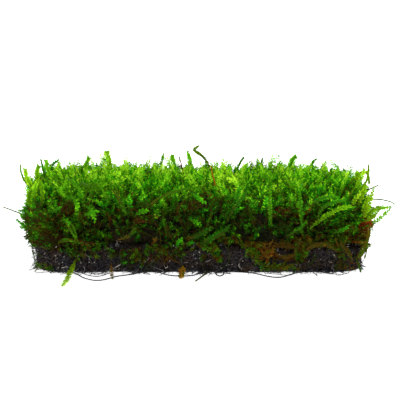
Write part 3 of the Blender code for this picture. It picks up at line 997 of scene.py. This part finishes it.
# a smooth curve through every point: on each stretch, the cubic whose slopes are half the step between neighbours
def smoothRoute(points, steps, closed):
    count = len(points)
    stretch = np.arange(count if closed else count - 1)
    around = (lambda k: (stretch + k) % count) if closed else (lambda k: np.clip(stretch + k, 0, count - 1))
    a, b, c, d = (points[around(k)][:, None] for k in (-1, 0, 1, 2))
    t = (np.arange(steps) / steps)[None, :, None]
    found = 0.5 * (2 * b + (c - a) * t + (2 * a - 5 * b + 4 * c - d) * t**2 + (3 * b - a - 3 * c + d) * t**3)
    found = found.reshape(-1, points.shape[1])
    return found if closed else np.concatenate([found, points[-1:]])


# each ply's centre is offset from the route by cos(turn) to the side and sin(turn) up, with a ring of points round it
def pliedThread(look, sides=5):
    flat = np.array(look["route"]) * mm
    line = smoothRoute(np.column_stack([flat, np.full(len(flat), look["height"])]), 24, look["closed"])
    count = len(line)
    if look["closed"]:
        along = unit(np.roll(line, -1, 0) - np.roll(line, 1, 0))
        steps = np.linalg.norm(np.roll(line, -1, 0) - line, axis=1)
    else:
        along = unit(np.gradient(line, axis=0))
        steps = np.append(np.linalg.norm(np.diff(line, axis=0), axis=1), 0)
    travelled = np.cumsum(steps) - steps
    total = steps.sum()
    turns = max(round(total / threadTwist["pitch"]), 1)
    side = unit(np.cross(along, up))
    sets = []
    for ply in range(2):
        turn = 2 * math.pi * (turns * travelled / total + ply / 2)
        offset = scaled(np.cos(turn), side) + scaled(np.sin(turn), up)
        centre = line + offset * look["radius"] * threadTwist["offset"]
        spin = np.arange(sides) * 2 * math.pi / sides
        ring = centre[:, None] + look["radius"] * threadTwist["ply"] * (
            np.cos(spin)[None, :, None] * side[:, None] + np.sin(spin)[None, :, None] * up
        )
        grid = np.arange(count * sides).reshape(count, sides)
        after = np.roll(grid, -1, 0) if look["closed"] else grid[1:]
        grid = grid if look["closed"] else grid[:-1]
        a, b, c, d = grid, np.roll(grid, -1, 1), np.roll(after, -1, 1), after
        faces = np.stack([a, d, c, b], -1).reshape(-1, 4)
        u = np.broadcast_to((np.arange(len(grid)) / len(grid))[:, None], grid.shape)
        v = np.broadcast_to((np.arange(sides) / sides)[None], grid.shape)
        du, dv = 1 / len(grid), 1 / sides
        places = np.stack(
            [np.stack([u + i * du, v + j * dv], -1) for i, j in ((0, 0), (1, 0), (1, 1), (0, 1))], -2
        ).reshape(-1, 4, 2)
        sets.append((ring.reshape(-1, 3), faces, places))
    return joined(sets)


for name, look in threads.items():
    points, faces, uv = pliedThread(look)
    addPiece(name, meshOf(name, points, faces, uv, smooth=True), tyingThread, nodeOf(name))


# Larger leaves in rows up each path. Each is a pointed blade: a foot, two cross lines of three points whose middle
# dips to form the fold, and a tip that curls over.
bladeFaces = np.array([[0, 1, 2], [0, 2, 3], [1, 4, 5], [1, 5, 2], [2, 5, 6], [2, 6, 3], [4, 7, 5], [5, 7, 6]])
# for each of the blade's points: share of the length, share of the width, lift, and what it adds to age and warmth;
# the age adds are painted shade at the foot and down the fold and painted light at the rims and tip
bladePoints = np.array([
    [0.0, 0.0, 0.0, -0.22, 0.0],
    [0.3, 0.5, 0.05, -0.06, 0.04],
    [0.33, 0.0, 0.0, -0.14, 0.0],
    [0.3, -0.5, 0.05, -0.06, -0.04],
    [0.66, 0.36, 0.05, 0.06, 0.03],
    [0.7, 0.0, 0.01, -0.04, 0.0],
    [0.66, -0.36, 0.05, 0.06, -0.03],
    [1.0, 0.0, 0.0, 0.14, 0.01],
])


def fineLeaves(paths, planes, ages, warmths, look, seed):
    rng = np.random.default_rng(seed)
    i, _, s, t, counts = leafPlaces(paths, look)
    n = len(i)
    shares, widths, lifts, ageAdds, warmAdds = bladePoints.T
    sets = []
    for row in shootRows:
        at = np.clip(t + (row["shift"] + rng.uniform(-0.12, 0.12, n)) * (1 - look["begin"]) / counts[i], 0, 1)
        turn = math.radians(row["turn"]) + rng.normal(0, 0.2, n)
        base, along, out, flat = leafFrame(paths, planes, i, at, turn)
        angle = np.radians(look["angle"]) * (1 - look["taper"] * s**3) + rng.normal(0, 0.1, n)
        away = scaled(np.cos(angle), along) + scaled(np.sin(angle), out)
        swell = np.minimum(1, 0.6 + 1.6 * s) * np.minimum(1, look["close"] + 2.0 * (1 - s))
        size = look["length"] * row["size"] * swell * rng.uniform(0.85, 1.12, n)
        wide = size * look["width"] / look["length"]
        across = unit(np.cross(away, flat))
        lift = np.tile(lifts, (n, 1))
        lift[:, -1] = rng.normal(look["droop"], 0.06, n)
        points = base[:, None] + (
            (size[:, None] * shares)[..., None] * away[:, None]
            + (wide[:, None] * widths)[..., None] * across[:, None]
            + (size[:, None] * lift)[..., None] * flat[:, None]
        )
        faces = (np.arange(n)[:, None, None] * 8 + bladeFaces).reshape(-1, 3)
        age = ages[i] + look["ageGain"] * at + look["tipGain"] * np.clip((s - 0.86) / 0.14, 0, 1)
        age = age + rng.normal(0, look["spread"], n)
        warmth = warmths[i] + rng.normal(0, look["spread"], n)
        places = mapPlace(age[:, None] + look["leafShadeGrade"] * ageAdds, warmth[:, None] + warmAdds)
        sets.append((points.reshape(-1, 3), faces, places[:, bladeFaces].reshape(-1, 3, 2)))
    return joined(sets)


# how the leaves droop, close in size and angle towards the tip, gain age from foot to tip, and carry painted shade and
# light across each leaf
liveShoot = {
    "begin": 0.10, "droop": -0.12, "close": 0.6, "taper": 0.6,
    "ageGain": 0.26, "tipGain": -0.20, "leafShadeGrade": 1.0, "spread": 0.05,
}
oldShoot = liveShoot | {"ageGain": 0.05, "tipGain": 0.0, "leafShadeGrade": 0.3, "spread": 0.11}
bluntTip = {"close": 1.2, "taper": 0.3}
# what each starts from, the leaves' spacing, length and width and the stem's radius in millimetres, their angle in
# degrees, and what differs
shootKinds = {
    "leafy": (liveShoot, 0.78, 1.15, 0.76, 0.18, 56, {}),
    "blunt": (liveShoot, 0.74, 1.25, 0.86, 0.30, 60, bluntTip),
    "bud": (liveShoot, 0.70, 1.15, 0.80, 0.28, 56, bluntTip),
    "slim": (liveShoot, 0.76, 0.95, 0.60, 0.20, 52, {}),
    "scaly": (liveShoot, 0.52, 0.72, 0.52, 0.28, 36, {"close": 0.9}),
    "hooked": (liveShoot, 0.50, 0.95, 0.66, 0.32, 34, {"close": 0.9}),
    "bare": (oldShoot, 1.20, 0.50, 0.30, 0.29, 30, {}),
    "root": (oldShoot, 0.40, 0.50, 0.40, 0.17, 75, {"droop": 0.3}),
    "dead": (oldShoot, 0.70, 0.90, 0.50, 0.16, 56, {"droop": 0.25}),
    "curled": (oldShoot, 0.60, 1.45, 1.00, 0.24, 56, {"droop": -0.30}),
}
# name, kind, age at the foot, warmth, then foot, middle and tip in millimetres
standing = [
    ("leftWhisker", "bare", 0.40, 0.45, (-48.0, -12.0, 13.0), (-54.3, -12.0, 15.7), (-60.0, -12.0, 17.9)),
    ("leftCurl", "scaly", 0.46, 0.50, (-46.0, -8.0, 20.0), (-52.7, -8.0, 24.2), (-54.7, -8.0, 29.9)),
    ("leftTallFrond", "bud", 0.62, 0.70, (-46.5, -14.0, 18.5), (-50.8, -14.0, 24.0), (-52.9, -14.0, 29.6)),
    ("leftCornerFrond", "bud", 0.56, 0.60, (-47.6, -6.0, 20.0), (-49.7, -6.0, 25.3), (-49.4, -6.0, 29.3)),
    ("leftSpike", "scaly", 0.40, 0.35, (-46.5, 1.5, 21.0), (-48.1, 1.5, 25.8), (-49.1, 1.5, 30.1)),
    ("leftBudFrond", "bud", 0.60, 0.40, (-44.5, -6.5, 22.0), (-46.0, -6.5, 27.3), (-47.0, -6.5, 31.1)),
    ("leftLeaningLeaf", "slim", 0.42, 0.10, (-46.5, 5.0, 22.0), (-46.2, 5.0, 27.2), (-44.0, 5.0, 29.6)),
    ("leftLowFrond", "slim", 0.40, 0.20, (-46.5, -20.5, 11.4), (-51.8, -20.5, 13.0), (-55.2, -20.5, 15.7)),
    ("tallFrondLeft", "blunt", 0.60, 0.60, (-25.5, 6.0, 20.0), (-27.5, 6.0, 26.5), (-28.8, 6.0, 32.0)),
    ("budFrond", "bud", 0.60, 0.40, (-36.8, 10.0, 20.0), (-36.0, 10.0, 25.7), (-34.7, 10.0, 29.6)),
    ("tallFrondMiddle", "leafy", 0.58, 0.35, (-0.8, 10.0, 20.0), (-2.3, 10.0, 26.6), (-3.5, 10.0, 31.5)),
    ("broadTip", "bud", 0.60, 0.40, (-6.4, 13.0, 20.0), (-7.7, 13.0, 25.9), (-8.4, 13.0, 29.6)),
    ("thinTip", "slim", 0.52, 0.40, (-13.6, 15.0, 20.0), (-12.2, 15.0, 26.0), (-11.3, 15.0, 30.0)),
    ("hookedStem", "hooked", 0.42, 0.85, (3.8, 8.5, 24.0), (1.6, 8.5, 29.8), (-1.0, 8.5, 31.9), (-0.4, 8.5, 33.4)),
    ("redTip", "bare", 0.10, 0.35, (-3.6, 4.0, 20.0), (-5.1, 4.0, 26.8), (-6.2, 4.0, 31.0)),
    ("orangeStem", "bare", 0.18, 1.00, (7.5, -15.0, 18.6), (5.0, -16.0, 25.4), (3.7, -15.0, 30.9)),
    ("curvedTip", "scaly", 0.42, 0.35, (9.6, 10.0, 20.0), (12.4, 10.0, 26.9), (13.8, 10.0, 29.4)),
    ("smallSpike", "scaly", 0.36, 0.35, (18.4, 14.0, 21.0), (19.4, 14.0, 25.4), (20.0, 14.0, 28.6)),
    ("leafyHead", "bud", 0.56, 0.30, (29.6, 10.0, 20.0), (28.8, 10.0, 26.5), (30.2, 10.0, 29.9)),
    ("leaningTip", "slim", 0.46, 0.25, (33.4, 12.0, 21.0), (34.7, 12.0, 26.0), (37.0, 12.0, 28.8)),
    ("rightEdgeStem", "hooked", 0.46, 0.85, (45.0, -1.0, 18.0), (51.0, -1.0, 22.4), (52.5, -1.0, 28.7)),
    ("rightArch", "hooked", 0.46, 0.85, (45.0, -6.5, 22.0), (50.3, -6.5, 27.7), (52.4, -6.5, 24.6)),
    ("rightWhisker", "bare", 0.44, 0.45, (46.5, -10.0, 21.0), (51.4, -10.0, 22.7), (55.1, -10.0, 24.4)),
    ("rightRunner", "bare", 0.44, 0.45, (47.0, -5.0, 18.6), (55.6, -5.0, 19.0), (60.6, -5.0, 17.4)),
    ("rightFanUpper", "leafy", 0.54, 0.50, (47.5, -9.0, 13.0), (53.4, -9.0, 15.9), (58.6, -9.0, 17.4)),
    ("rightFanLower", "leafy", 0.54, 0.50, (47.5, -12.5, 10.0), (53.3, -12.5, 12.8), (58.4, -12.5, 17.4)),
    ("cornerSprig", "scaly", 0.22, 0.25, (46.9, -21.6, 4.6), (48.1, -23.6, 2.6), (48.6, -24.9, 0.6)),
    ("fallenStem", "bare", 0.36, 0.45, (3.2, -24.2, 0.6), (0.8, -31.8, 0.3), (-1.1, -38.3, 0.3)),
    ("brownSprig", "dead", 0.20, 0.45, (-26.5, -24.2, 2.9), (-26.1, -30.0, 1.3), (-25.6, -36.2, 0.5)),
    ("goldLeaf", "curled", 0.20, 0.98, (-4.9, -24.4, 2.0), (-5.2, -29.4, 1.35), (-5.6, -34.4, 0.6)),
    ("trailingShoot", "blunt", 0.56, 1.10, (-37.2, -24.0, 3.8), (-38.9, -34.5, 1.1), (-39.9, -47.4, 0.9)),
]
# a row's way round the stem in degrees, its leaves' size, and its shift up the stem in leaf spacings
shootRows = [
    {"turn": 0, "size": 1.0, "shift": 0.0},
    {"turn": 180, "size": 1.0, "shift": 0.5},
    {"turn": 70, "size": 0.75, "shift": 0.25},
    {"turn": -110, "size": 0.75, "shift": -0.25},
]


# a set of leaves and a set of stems for several shoots of one kind
def shootSet(rows, kind, seed):
    start, spacing, length, width, stem, angle, rest = shootKinds[kind]
    look = start | {"spacing": spacing * mm, "length": length * mm, "width": width * mm, "angle": angle} | rest
    rng = np.random.default_rng(seed)
    paths = np.stack([pathThrough(row[2:]) for row in rows])
    n = len(rows)
    ages, warmths = np.array([row[0] for row in rows]), np.array([row[1] for row in rows])
    # a lying shoot is flat on the table; a standing one faces the front, turned a little
    lying = paths[:, -1, 2] < 2 * mm
    planes = np.stack([np.full(n, 0.85), rng.uniform(-0.5, 0.5, n), rng.uniform(-0.2, 0.2, n)], -1)
    travel = paths[:, -1] - paths[:, 0]
    planes = unit(np.where((abs(travel[:, :1]) > abs(travel[:, 2:])), planes[:, [2, 1, 0]], planes))
    planes[lying] = unit(np.cross(travel[lying], up))
    thick = np.full(n, stem * mm)
    stems = tubes(paths, planes, thick, 0.7 * thick, ages - 0.04, warmths, 12, 5, look["ageGain"])
    return [fineLeaves(paths, planes, ages, warmths, look, seed), stems]


for number, (name, kind, *row) in enumerate(standing):
    addGrowth(name, shootSet([row], kind, 600 + number), mossLeaf, nodeOf(name), 0.05 * mm)


# shoots that lie over the front of the clump: kind, age at the foot, warmth, then stations in millimetres
faceShoots = {
    "frontFronds": [
        ("leafy", 0.48, 0.55, (33.2, -28.3, 13.8), (36.8, -28.5, 17.1), (40.9, -28.5, 19.6), (45.7, -27.8, 20.8)),
        ("slim", 0.38, 0.20, (35.6, -28.0, 15.6), (36.7, -28.0, 19.9), (40.0, -27.6, 22.0), (43.6, -27.0, 22.6)),
        ("leafy", 0.40, 0.20, (34.0, -26.5, 21.0), (36.7, -26.5, 23.1), (40.9, -26.0, 23.6)),
        ("slim", 0.46, 0.25, (30.8, -28.0, 12.6), (30.5, -28.3, 18.3), (30.1, -27.2, 23.9), (31.0, -24.0, 27.0)),
        ("slim", 0.44, 0.35, (21.8, -28.0, 15.0), (21.2, -28.4, 20.4), (21.4, -25.0, 26.6)),
        ("leafy", 0.34, 0.15, (8.4, -28.3, 16.2), (10.5, -28.6, 20.2), (12.8, -28.0, 23.2), (14.3, -26.0, 26.0)),
        ("leafy", 0.46, 0.15, (10.1, -28.0, 21.4), (11.6, -27.6, 24.1), (12.2, -25.0, 26.6)),
        ("leafy", 0.52, 0.15, (-2.1, -27.6, 25.0), (-0.6, -28.3, 23.5), (1.8, -28.5, 22.0)),
        ("leafy", 0.44, 0.20, (-3.3, -28.3, 17.1), (-1.8, -28.6, 16.5), (0.3, -28.4, 15.6)),
        ("leafy", 0.46, 0.22, (-19.1, -28.3, 18.0), (-17.6, -28.6, 18.9), (-15.8, -28.4, 19.6)),
        ("leafy", 0.50, 0.22, (-33.7, -28.3, 20.5), (-32.2, -28.6, 19.6), (-31.1, -28.4, 16.5)),
        ("leafy", 0.48, 0.22, (-34.4, -28.3, 18.0), (-32.9, -28.6, 18.6), (-30.8, -28.4, 19.3)),
        ("leafy", 0.46, 0.22, (-41.5, -28.3, 16.2), (-40.0, -28.6, 16.8), (-38.9, -28.4, 15.6)),
        ("slim", 0.40, 0.20, (-45.1, -28.3, 19.3), (-43.3, -28.6, 19.6), (-41.5, -28.4, 20.5)),
        ("leafy", 0.52, 0.25, (-38.5, -26.6, 24.0), (-36.7, -28.0, 22.3), (-36.4, -28.4, 19.9)),
        ("leafy", 0.30, 0.10, (0.6, -28.0, 8.8), (3.0, -28.4, 10.7), (7.2, -28.2, 13.4)),
        ("leafy", 0.24, 0.10, (-3.3, -28.0, 10.7), (-0.6, -28.3, 11.9), (3.6, -28.1, 14.3)),
        ("leafy", 0.26, 0.10, (4.5, -28.0, 11.3), (6.9, -28.3, 12.5), (9.0, -28.1, 14.9)),
        ("leafy", 0.50, 0.05, (-6.9, -27.5, 8.4), (-6.3, -27.9, 9.7), (-5.4, -27.8, 10.6)),
        ("slim", 0.40, 0.10, (-3.6, -27.5, 8.4), (-3.0, -27.8, 9.4), (-2.1, -27.7, 9.9)),
        ("slim", 0.40, 0.15, (40.1, -28.0, 12.8), (42.5, -28.3, 13.4), (44.6, -27.6, 14.9)),
        ("slim", 0.34, 0.20, (26.3, -28.0, 11.9), (29.6, -28.2, 13.7), (32.0, -28.2, 16.2)),
        ("slim", 0.52, 0.40, (-43.4, -21.0, 29.0), (-42.2, -23.0, 26.0), (-40.4, -25.0, 23.4)),
        ("slim", 0.50, 0.30, (-39.6, -20.0, 28.0), (-37.2, -22.0, 26.4), (-34.3, -25.5, 23.2)),
        ("slim", 0.26, 0.25, (-25.9, -26.0, 25.5), (-23.6, -28.0, 22.4), (-21.8, -28.4, 18.6)),
        ("leafy", 0.18, 0.20, (-24.3, -27.8, 10.6), (-21.3, -28.0, 11.8), (-18.9, -28.0, 14.2)),
    ],
    "edgeShoots": [
        ("leafy", 0.54, 0.80, (47.3, -21.0, 19.4), (49.1, -22.0, 22.8), (50.2, -22.0, 26.2)),
        ("leafy", 0.50, 0.85, (48.9, -21.0, 15.6), (50.0, -22.0, 19.4), (51.1, -21.6, 22.8)),
        ("leafy", 0.60, 0.70, (46.3, -17.0, 23.8), (48.7, -18.0, 27.0), (49.9, -17.6, 30.4)),
        ("slim", 0.42, 0.80, (50.0, -20.0, 14.2), (52.0, -20.4, 17.8), (54.6, -20.0, 19.4)),
        ("leafy", 0.50, 0.55, (-48.0, -20.0, 18.9), (-49.6, -22.0, 23.6), (-48.4, -21.6, 27.8)),
        ("leafy", 0.42, 0.60, (-49.6, -18.0, 16.7), (-51.4, -20.0, 21.4), (-50.4, -19.6, 24.8)),
        ("bare", 0.34, 0.70, (51.2, -18.6, 15.4), (51.6, -19.4, 10.2), (49.4, -19.8, 4.0)),
        ("bare", 0.26, 0.60, (50.6, -20.0, 14.7), (50.4, -20.8, 9.1), (48.6, -21.6, 3.6)),
        ("slim", 0.12, 0.45, (49.6, -20.4, 12.0), (50.6, -21.0, 8.4), (48.9, -22.4, 5.0)),
    ],
    "oldFronds": [
        ("scaly", 0.36, 0.35, (-14.6, -28.2, 21.4), (-10.1, -28.4, 24.2), (-4.2, -26.6, 25.8), (0.3, -24.6, 26.4)),
        ("scaly", 0.34, 0.40, (-39.8, -28.2, 15.9), (-38.3, -28.6, 13.4), (-36.8, -28.0, 10.7)),
        ("dead", 0.34, 0.30, (-42.3, -27.2, 8.9), (-41.1, -27.8, 10.4), (-38.1, -27.8, 10.3), (-32.7, -27.4, 8.7)),
        ("dead", 0.06, 0.12, (-36.9, -27.4, 10.5), (-34.5, -27.6, 9.3), (-31.2, -27.2, 9.6)),
        ("scaly", 0.42, 0.40, (-32.8, -27.0, 23.6), (-30.4, -22.0, 26.6), (-28.3, -27.0, 23.4)),
        ("scaly", 0.46, 0.40, (-37.8, -21.0, 26.9), (-34.3, -23.0, 24.9), (-31.0, -21.0, 25.2)),
        ("scaly", 0.46, 0.40, (-35.8, -17.0, 26.4), (-32.5, -18.0, 25.4), (-28.6, -17.0, 26.4)),
        ("dead", 0.08, 0.25, (-14.1, -27.0, 9.0), (-13.5, -27.3, 9.9), (-12.9, -27.1, 10.7)),
        ("dead", 0.02, 0.14, (-19.8, -27.6, 16.0), (-18.3, -27.9, 16.9), (-16.2, -27.7, 16.3)),
        ("dead", 0.03, 0.60, (48.1, -20.6, 13.4), (49.9, -21.6, 14.7), (51.8, -21.2, 15.3)),
        ("dead", 0.01, 0.45, (48.9, -20.6, 10.6), (50.0, -21.6, 12.6), (51.6, -21.4, 14.0)),
        ("dead", 0.12, 0.30, (19.5, -26.3, 8.4), (20.4, -27.0, 6.7), (20.7, -26.6, 3.6)),
        ("dead", 0.13, 0.34, (18.4, -26.3, 7.0), (20.4, -27.1, 6.7), (22.7, -26.6, 7.6)),
        ("dead", 0.12, 0.28, (18.7, -26.3, 4.4), (20.4, -27.0, 6.1), (21.6, -26.6, 9.5)),
        ("dead", 0.26, 0.35, (20.8, -25.7, 2.3), (24.4, -25.9, 1.5), (28.6, -25.7, 2.9)),
    ],
    "matRoots": [
        ("root", 0.12, 0.13, (21.9, -26.0, 8.5), (25.8, -26.6, 9.1), (31.2, -26.0, 7.3)),
        ("root", 0.14, 0.17, (22.8, -25.8, 5.4), (26.8, -26.2, 4.8), (30.3, -26.0, 6.7)),
        ("root", 0.22, 0.20, (32.7, -26.0, 7.6), (35.4, -26.6, 9.4), (38.7, -26.6, 8.8), (41.5, -25.8, 6.7)),
        ("root", 0.20, 0.14, (30.3, -26.2, 9.4), (29.1, -26.4, 7.3), (29.5, -25.8, 3.6)),
        ("root", 0.14, 0.12, (42.3, -26.0, 9.7), (44.2, -26.0, 7.3), (46.0, -24.8, 3.6)),
    ],
}
# more of the same beside each shoot: how many there are in all, and how far apart in millimetres
bundles = {"frontFronds": (1, 0.0), "edgeShoots": (2, 1.1), "oldFronds": (2, 0.6), "matRoots": (3, 0.5)}
nearest = [-99.0, -27.5, 0.0]  # no station comes further forward than this, so that the shoots lie on the moss
for number, (name, rows) in enumerate(faceShoots.items()):
    sets = []
    copies, spread = bundles[name]
    rng = np.random.default_rng(800 + number)
    spreadRows = []
    for kind, age, warmth, *places in rows:
        stations = np.maximum(places, nearest)
        for k in range(copies):
            ownAge = age + rng.normal(0, 0.04) * (copies > 1)
            spreadRows.append((kind, ownAge, warmth, *(stations + rng.normal(0, spread, stations.shape) * (k > 0))))
    for kind in shootKinds:
        chosen = [row[1:] for row in spreadRows if row[0] == kind]
        if chosen:
            sets += shootSet(chosen, kind, 700 + 10 * number + len(sets) // 2)
    addGrowth(name, sets, mossLeaf, "moss_cushion", 0.05 * mm)


# Tangles of old roots and withered leaves, each within an oval on the face: its middle and half-size in millimetres,
# how many strands, their length, the age and warmth of the colour, the thickness, and how many strands bear leaves
tangles = [
    ((19.8, -25.6, 7.0), (1.4, 0.5, 2.2), 15, 2.6, 0.15, 0.34, 0.18, 0.4),
    ((26.5, -25.6, 8.6), (5.0, 0.6, 1.0), 30, 3.4, 0.10, 0.13, 0.20, 0.2),
    ((26.5, -25.3, 4.2), (4.6, 0.5, 0.7), 18, 3.2, 0.10, 0.18, 0.16, 0.1),
    ((22.4, -25.4, 6.6), (0.7, 0.5, 1.8), 10, 2.6, 0.09, 0.14, 0.18, 0.2),
    ((31.0, -25.4, 6.4), (0.9, 0.5, 2.4), 15, 2.8, 0.14, 0.14, 0.20, 0.3),
    ((36.8, -25.7, 9.0), (4.8, 0.6, 0.8), 26, 3.0, 0.20, 0.17, 0.22, 0.2),
    ((42.4, -25.2, 6.4), (1.5, 0.6, 2.2), 18, 2.8, 0.15, 0.13, 0.18, 0.3),
    ((44.0, -24.6, 2.4), (2.6, 0.5, 1.6), 26, 2.2, 0.12, 0.18, 0.14, 0.5),
    ((24.8, -25.0, 1.6), (5.6, 0.4, 1.2), 54, 1.8, 0.34, 0.45, 0.12, 0.8),
    ((50.3, -20.6, 14.4), (1.4, 1.0, 1.5), 15, 2.6, 0.05, 0.52, 0.20, 0.5),
    ((50.2, -19.8, 9.4), (0.9, 1.2, 3.0), 18, 3.0, 0.18, 0.20, 0.18, 0.5),
    ((-51.0, -19.5, 11.6), (1.5, 1.5, 2.2), 26, 2.6, 0.12, 0.16, 0.16, 0.5),
    ((-47.0, -24.0, 1.4), (2.6, 0.6, 1.2), 26, 1.8, 0.26, 0.25, 0.12, 0.7),
    ((-12.0, -25.0, 4.4), (6.2, 0.4, 1.0), 34, 2.6, 0.10, 0.16, 0.14, 0.3),
    ((-35.8, -25.6, 8.8), (4.2, 0.6, 2.0), 30, 2.8, 0.18, 0.20, 0.14, 0.4),
    ((-3.0, -26.2, 20.6), (3.6, 0.7, 1.0), 22, 2.6, 0.07, 0.10, 0.14, 0.5),
    ((-17.4, -26.2, 18.0), (2.6, 0.7, 3.4), 24, 2.8, 0.09, 0.09, 0.14, 0.4),
    ((-39.8, -26.2, 20.2), (2.6, 0.7, 1.2), 18, 2.4, 0.07, 0.10, 0.14, 0.5),
    ((24.0, -26.2, 19.0), (3.0, 0.7, 1.4), 18, 2.4, 0.10, 0.16, 0.14, 0.4),
    ((-43.6, -26.8, 10.4), (3.0, 0.7, 1.8), 70, 2.2, 0.02, 0.02, 0.16, 0.2),
    ((3.0, 26.0, 9.0), (9.0, 0.6, 2.0), 50, 3.0, 0.12, 0.16, 0.16, 0.3),
    ((-30.0, 25.8, 6.0), (7.0, 0.6, 2.2), 50, 3.0, 0.16, 0.18, 0.16, 0.4),
    ((33.0, 25.8, 5.6), (6.0, 0.6, 2.0), 40, 2.8, 0.24, 0.30, 0.14, 0.5),
    ((50.2, 6.0, 6.6), (0.6, 8.0, 2.2), 50, 2.8, 0.16, 0.20, 0.16, 0.4),
    ((-50.4, 5.0, 7.0), (0.6, 9.0, 2.2), 50, 2.8, 0.14, 0.16, 0.16, 0.4),
]


tangleRun = {"wideFrom": 0.75, "narrow": 0.15, "bend": 0.5}


# each strand runs mostly the ways in which the oval is wide, and bends off a line through its own middle
def growTangle(middle, half, count, length, rng):
    centre = np.array(middle) * mm + rng.uniform(-1, 1, (count, 3)) * np.array(half) * mm
    wide = np.array(half) > tangleRun["wideFrom"]
    way = unit(rng.normal(0, 1, (count, 3)) * np.where(wide, 1.0, tangleRun["narrow"]) * [1, 1, 0.8])
    reach = rng.uniform(0.5, 1.1, count) * length * mm / 2
    bend = rng.normal(0, tangleRun["bend"], (2, count, 3)) * reach[None, :, None]
    end, third = scaled(reach, way), scaled(reach / 3, way)
    return np.stack([centre - end, centre - third + bend[0], centre + third + bend[1], centre + end], 1)


sets = []
for number, (middle, half, count, length, age, warmth, thickness, leafy) in enumerate(tangles):
    rng = np.random.default_rng(900 + number)
    paths = growTangle(middle, half, count, length, rng)
    planes = unit(rng.normal(0, 1, (count, 3)))
    ages, warmths = age + rng.normal(0, 0.09, count), warmth * rng.uniform(0.4, 1.6, count)
    thick = thickness * rng.uniform(0.5, 1.2, count) * mm
    sets.append(tubes(paths, planes, thick, thick * 0.6, ages, warmths, 5, 4))
    bearing = np.flatnonzero(rng.random(count) < leafy)
    look = witheredLook | {"scale": np.ones(len(bearing)), "length": 0.8 * mm, "ageGain": 0.08}
    sets.append(leafRows(paths[bearing], planes[bearing], ages[bearing] + 0.04, warmths[bearing], look, 950 + number))
addGrowth("rootTangles", sets, mossLeaf, "moss_cushion", 0.05 * mm)

bpy.context.view_layer.update()
visualBox = [list(corner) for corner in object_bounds()]
say("box", visualBox)
